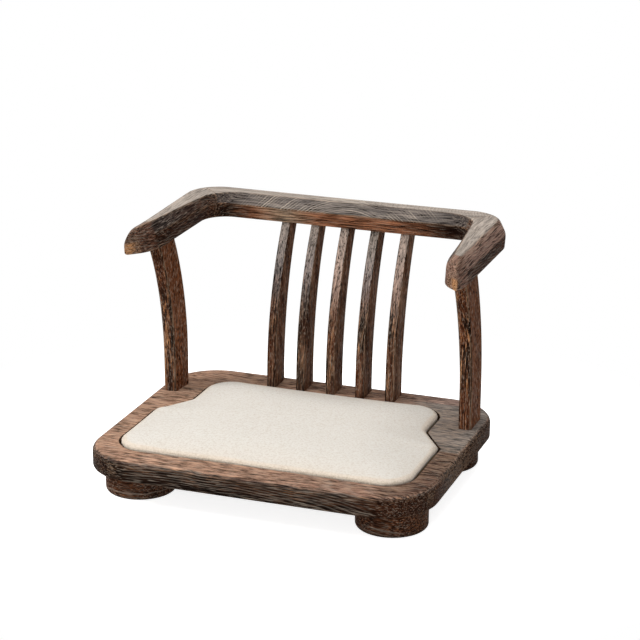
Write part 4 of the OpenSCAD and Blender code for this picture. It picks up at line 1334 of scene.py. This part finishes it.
class CHAIR_OT_build_cushion(bpy.types.Operator):
    """Blows up the cushion's linen cover over its board"""

    bl_idname = "chair.build_cushion"
    bl_label = "Build cushion"

    def execute(self, context):
        sizes = context.scene.chair.seat
        shape = merged_shape(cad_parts["cushion"].data)
        shape.normal_update()
        for vert in shape.verts:
            vert.co -= vert.normal * sizes.cushion_start
        cover = new_object("cover", as_mesh(shape, "cover"))
        remesh = cover.modifiers.new("remesh", "REMESH")
        remesh.mode = "VOXEL"
        remesh.voxel_size = sizes.cushion_voxel
        remesh.use_smooth_shade = True
        mesh = baked(cover, "cover")
        mesh = inflated(mesh, sizes)
        cover = new_object("cover", mesh)
        finer = cover.modifiers.new("finer", "SUBSURF")
        finer.levels = finer.render_levels = 1
        mesh = baked(cover, "seat_cushion")
        mesh.polygons.foreach_set("use_smooth", [True] * len(mesh.polygons))
        piece = add_piece("seat_cushion", mesh, linen(), ["cushion"])
        return {"FINISHED"}


def inflated(mesh, sizes):
    """The cover after a short cloth simulation, in which its underside is held."""
    cover = new_object("cover", mesh)
    rest = [vert.co.copy() for vert in mesh.vertices]
    held = cover.vertex_groups.new(name="held")
    held_up_to = min(point.z for point in rest) + HELD_HEIGHT
    held.add([i for i, point in enumerate(rest) if point.z < held_up_to], 1.0, "REPLACE")
    settings = cover.modifiers.new("cloth", "CLOTH").settings
    settings.use_pressure = True
    settings.uniform_pressure_force = sizes.cushion_pressure
    settings.effector_weights.gravity = 0
    settings.vertex_group_mass = "held"
    settings.quality = 6
    settings.tension_stiffness = 30
    settings.compression_stiffness = 30
    settings.bending_stiffness = 2
    for frame_number in range(1, CLOTH_FRAMES + 1):
        bpy.context.scene.frame_set(frame_number)
    done = baked(cover, "cover")
    bpy.context.scene.frame_set(1)
    for vert, start in zip(done.vertices, rest):
        step = vert.co - start
        if step.length > sizes.cushion_swell:
            vert.co = start + step.normalized() * sizes.cushion_swell
    return done


# Hidden parts, stage and registration

WHITE = opaque(1.0)
SENSOR_WIDTH = 36
# Distances from the chair at which the floor begins to be plain white, and is
WHITE_START, WHITE_FULL = 0.35, 0.65
# Place and size of each lamp, and the setting that holds its power
LAMPS = {
    "key": ((-1.7, -0.9, 1.6), 1.0, "key_power"),
    "top": ((0.1, 0.3, 2.1), 1.8, "top_power"),
    "front": ((0.5, -2.6, 0.7), 1.6, "fill_power"),
}


class CHAIR_OT_finish_hidden(bpy.types.Operator):
    """Gives the dowels, tenons, cushion board and screws their birch and zinc"""

    bl_idname = "chair.finish_hidden"
    bl_label = "Finish hidden parts"

    def execute(self, context):
        for nodes, material in ((BIRCH_NODES, birch()), (ZINC_NODES, zinc())):
            for node in nodes:
                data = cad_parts[node].data
                data.materials.clear()
                data.materials.append(material)
        return {"FINISHED"}


def floor_material():
    """A matt floor that the camera sees as white where no shadow falls."""
    tones = bpy.context.scene.chair.other
    material, tree = new_material("floor")
    matt = tree.node("ShaderNodeBsdfDiffuse", {"Color": opaque(tones.floor)})
    bright = tree.node("ShaderNodeBsdfDiffuse", {"Color": opaque(0.9)})
    glow = tree.node("ShaderNodeEmission", {"Color": WHITE, "Strength": 0.8})
    near = tree.node("ShaderNodeAddShader", {0: bright, 1: glow})
    far = tree.node("ShaderNodeEmission", {"Color": WHITE, "Strength": 1.0})
    distance = tree.vector_math("LENGTH", tree.coordinates("Object"), outlet="Value")
    white = tree.mix_shaders(tree.fade(distance, WHITE_START, WHITE_FULL), near, far)
    tree.node("ShaderNodeOutputMaterial", {"Surface": tree.mix_shaders(tree.seen(), matt, white)})
    return material


def white_world(strength):
    """Even light from all round, which the camera sees as white."""
    world = bpy.data.worlds.new("studio")
    world.use_nodes = True
    world.node_tree.nodes.clear()
    tree = Tree(world.node_tree)
    even = tree.node("ShaderNodeBackground", {"Color": WHITE, "Strength": strength})
    white = tree.node("ShaderNodeBackground", {"Color": WHITE, "Strength": 1.0})
    tree.node("ShaderNodeOutputWorld", {"Surface": tree.mix_shaders(tree.seen(), even, white)})
    return world


def add_lamp(name, place, aim, size, power):
    """A round soft lamp that shines at a point."""
    lamp = bpy.data.lights.new(name, "AREA")
    lamp.shape = "DISK"
    lamp.size = size
    lamp.energy = power
    holder = new_object(name, lamp)
    holder.location = place
    holder.rotation_euler = (aim - Vector(place)).to_track_quat("-Z", "Y").to_euler()


class CHAIR_OT_build_stage(bpy.types.Operator):
    """Sets up the white floor, the soft lamps and the camera"""

    bl_idname = "chair.build_stage"
    bl_label = "Build stage"

    def execute(self, context):
        sizes = context.scene.chair.stage
        scene = context.scene
        scene.view_settings.view_transform = "Standard"
        half = sizes.floor_size / 2
        mesh = bpy.data.meshes.new("floor")
        corners = [(x * half, y * half, 0) for x, y in ((-1, -1), (1, -1), (1, 1), (-1, 1))]
        mesh.from_pydata(corners, [], [(0, 1, 2, 3)])
        mesh.materials.append(floor_material())
        new_object("floor", mesh)
        scene.world = white_world(sizes.ambient)
        aim = Vector((0, SEAT_MIDDLE.y, sizes.aim_height))
        for name, (place, size, power) in LAMPS.items():
            add_lamp(name, place, aim, size, getattr(sizes, power))
        back = Vector((
            math.sin(sizes.azimuth) * math.cos(sizes.elevation),
            -math.cos(sizes.azimuth) * math.cos(sizes.elevation),
            math.sin(sizes.elevation),
        ))
        data = bpy.data.cameras.new("camera")
        data.lens = sizes.focal
        data.sensor_width = SENSOR_WIDTH
        data.shift_x = sizes.shift_x
        data.shift_y = sizes.shift_y
        camera = new_object("camera", data)
        camera.location = aim + back * sizes.distance
        camera.rotation_euler = back.to_track_quat("Z", "Y").to_euler()
        scene.camera = camera
        return {"FINISHED"}


STEPS = (
    CHAIR_OT_build_seat, CHAIR_OT_build_feet, CHAIR_OT_build_posts, CHAIR_OT_build_slats,
    CHAIR_OT_build_rail, CHAIR_OT_build_cushion, CHAIR_OT_finish_hidden, CHAIR_OT_build_stage,
)


class CHAIR_PT_panel(bpy.types.Panel):
    """The chair's steps in the sidebar"""

    bl_idname = "CHAIR_PT_panel"
    bl_label = "Wooden floor chair"
    bl_space_type = "VIEW_3D"
    bl_region_type = "UI"
    bl_category = "Chair"

    def draw(self, context):
        for step in STEPS:
            self.layout.operator(step.bl_idname)


CLASSES = (
    ChairWoodColours, ChairOtherColours, ChairRailSizes, ChairUprightSizes, ChairSeatSizes,
    ChairStageSizes, ChairSettings, *STEPS, CHAIR_PT_panel,
)


def register():
    for item in CLASSES:
        bpy.utils.register_class(item)
    bpy.types.Scene.chair = bpy.props.PointerProperty(type=ChairSettings)


def unregister():
    del bpy.types.Scene.chair
    for item in reversed(CLASSES):
        bpy.utils.unregister_class(item)


def main():
    register()
    for step in STEPS:
        getattr(bpy.ops.chair, step.bl_idname.split(".")[1])()


if __name__ == "__main__":
    main()
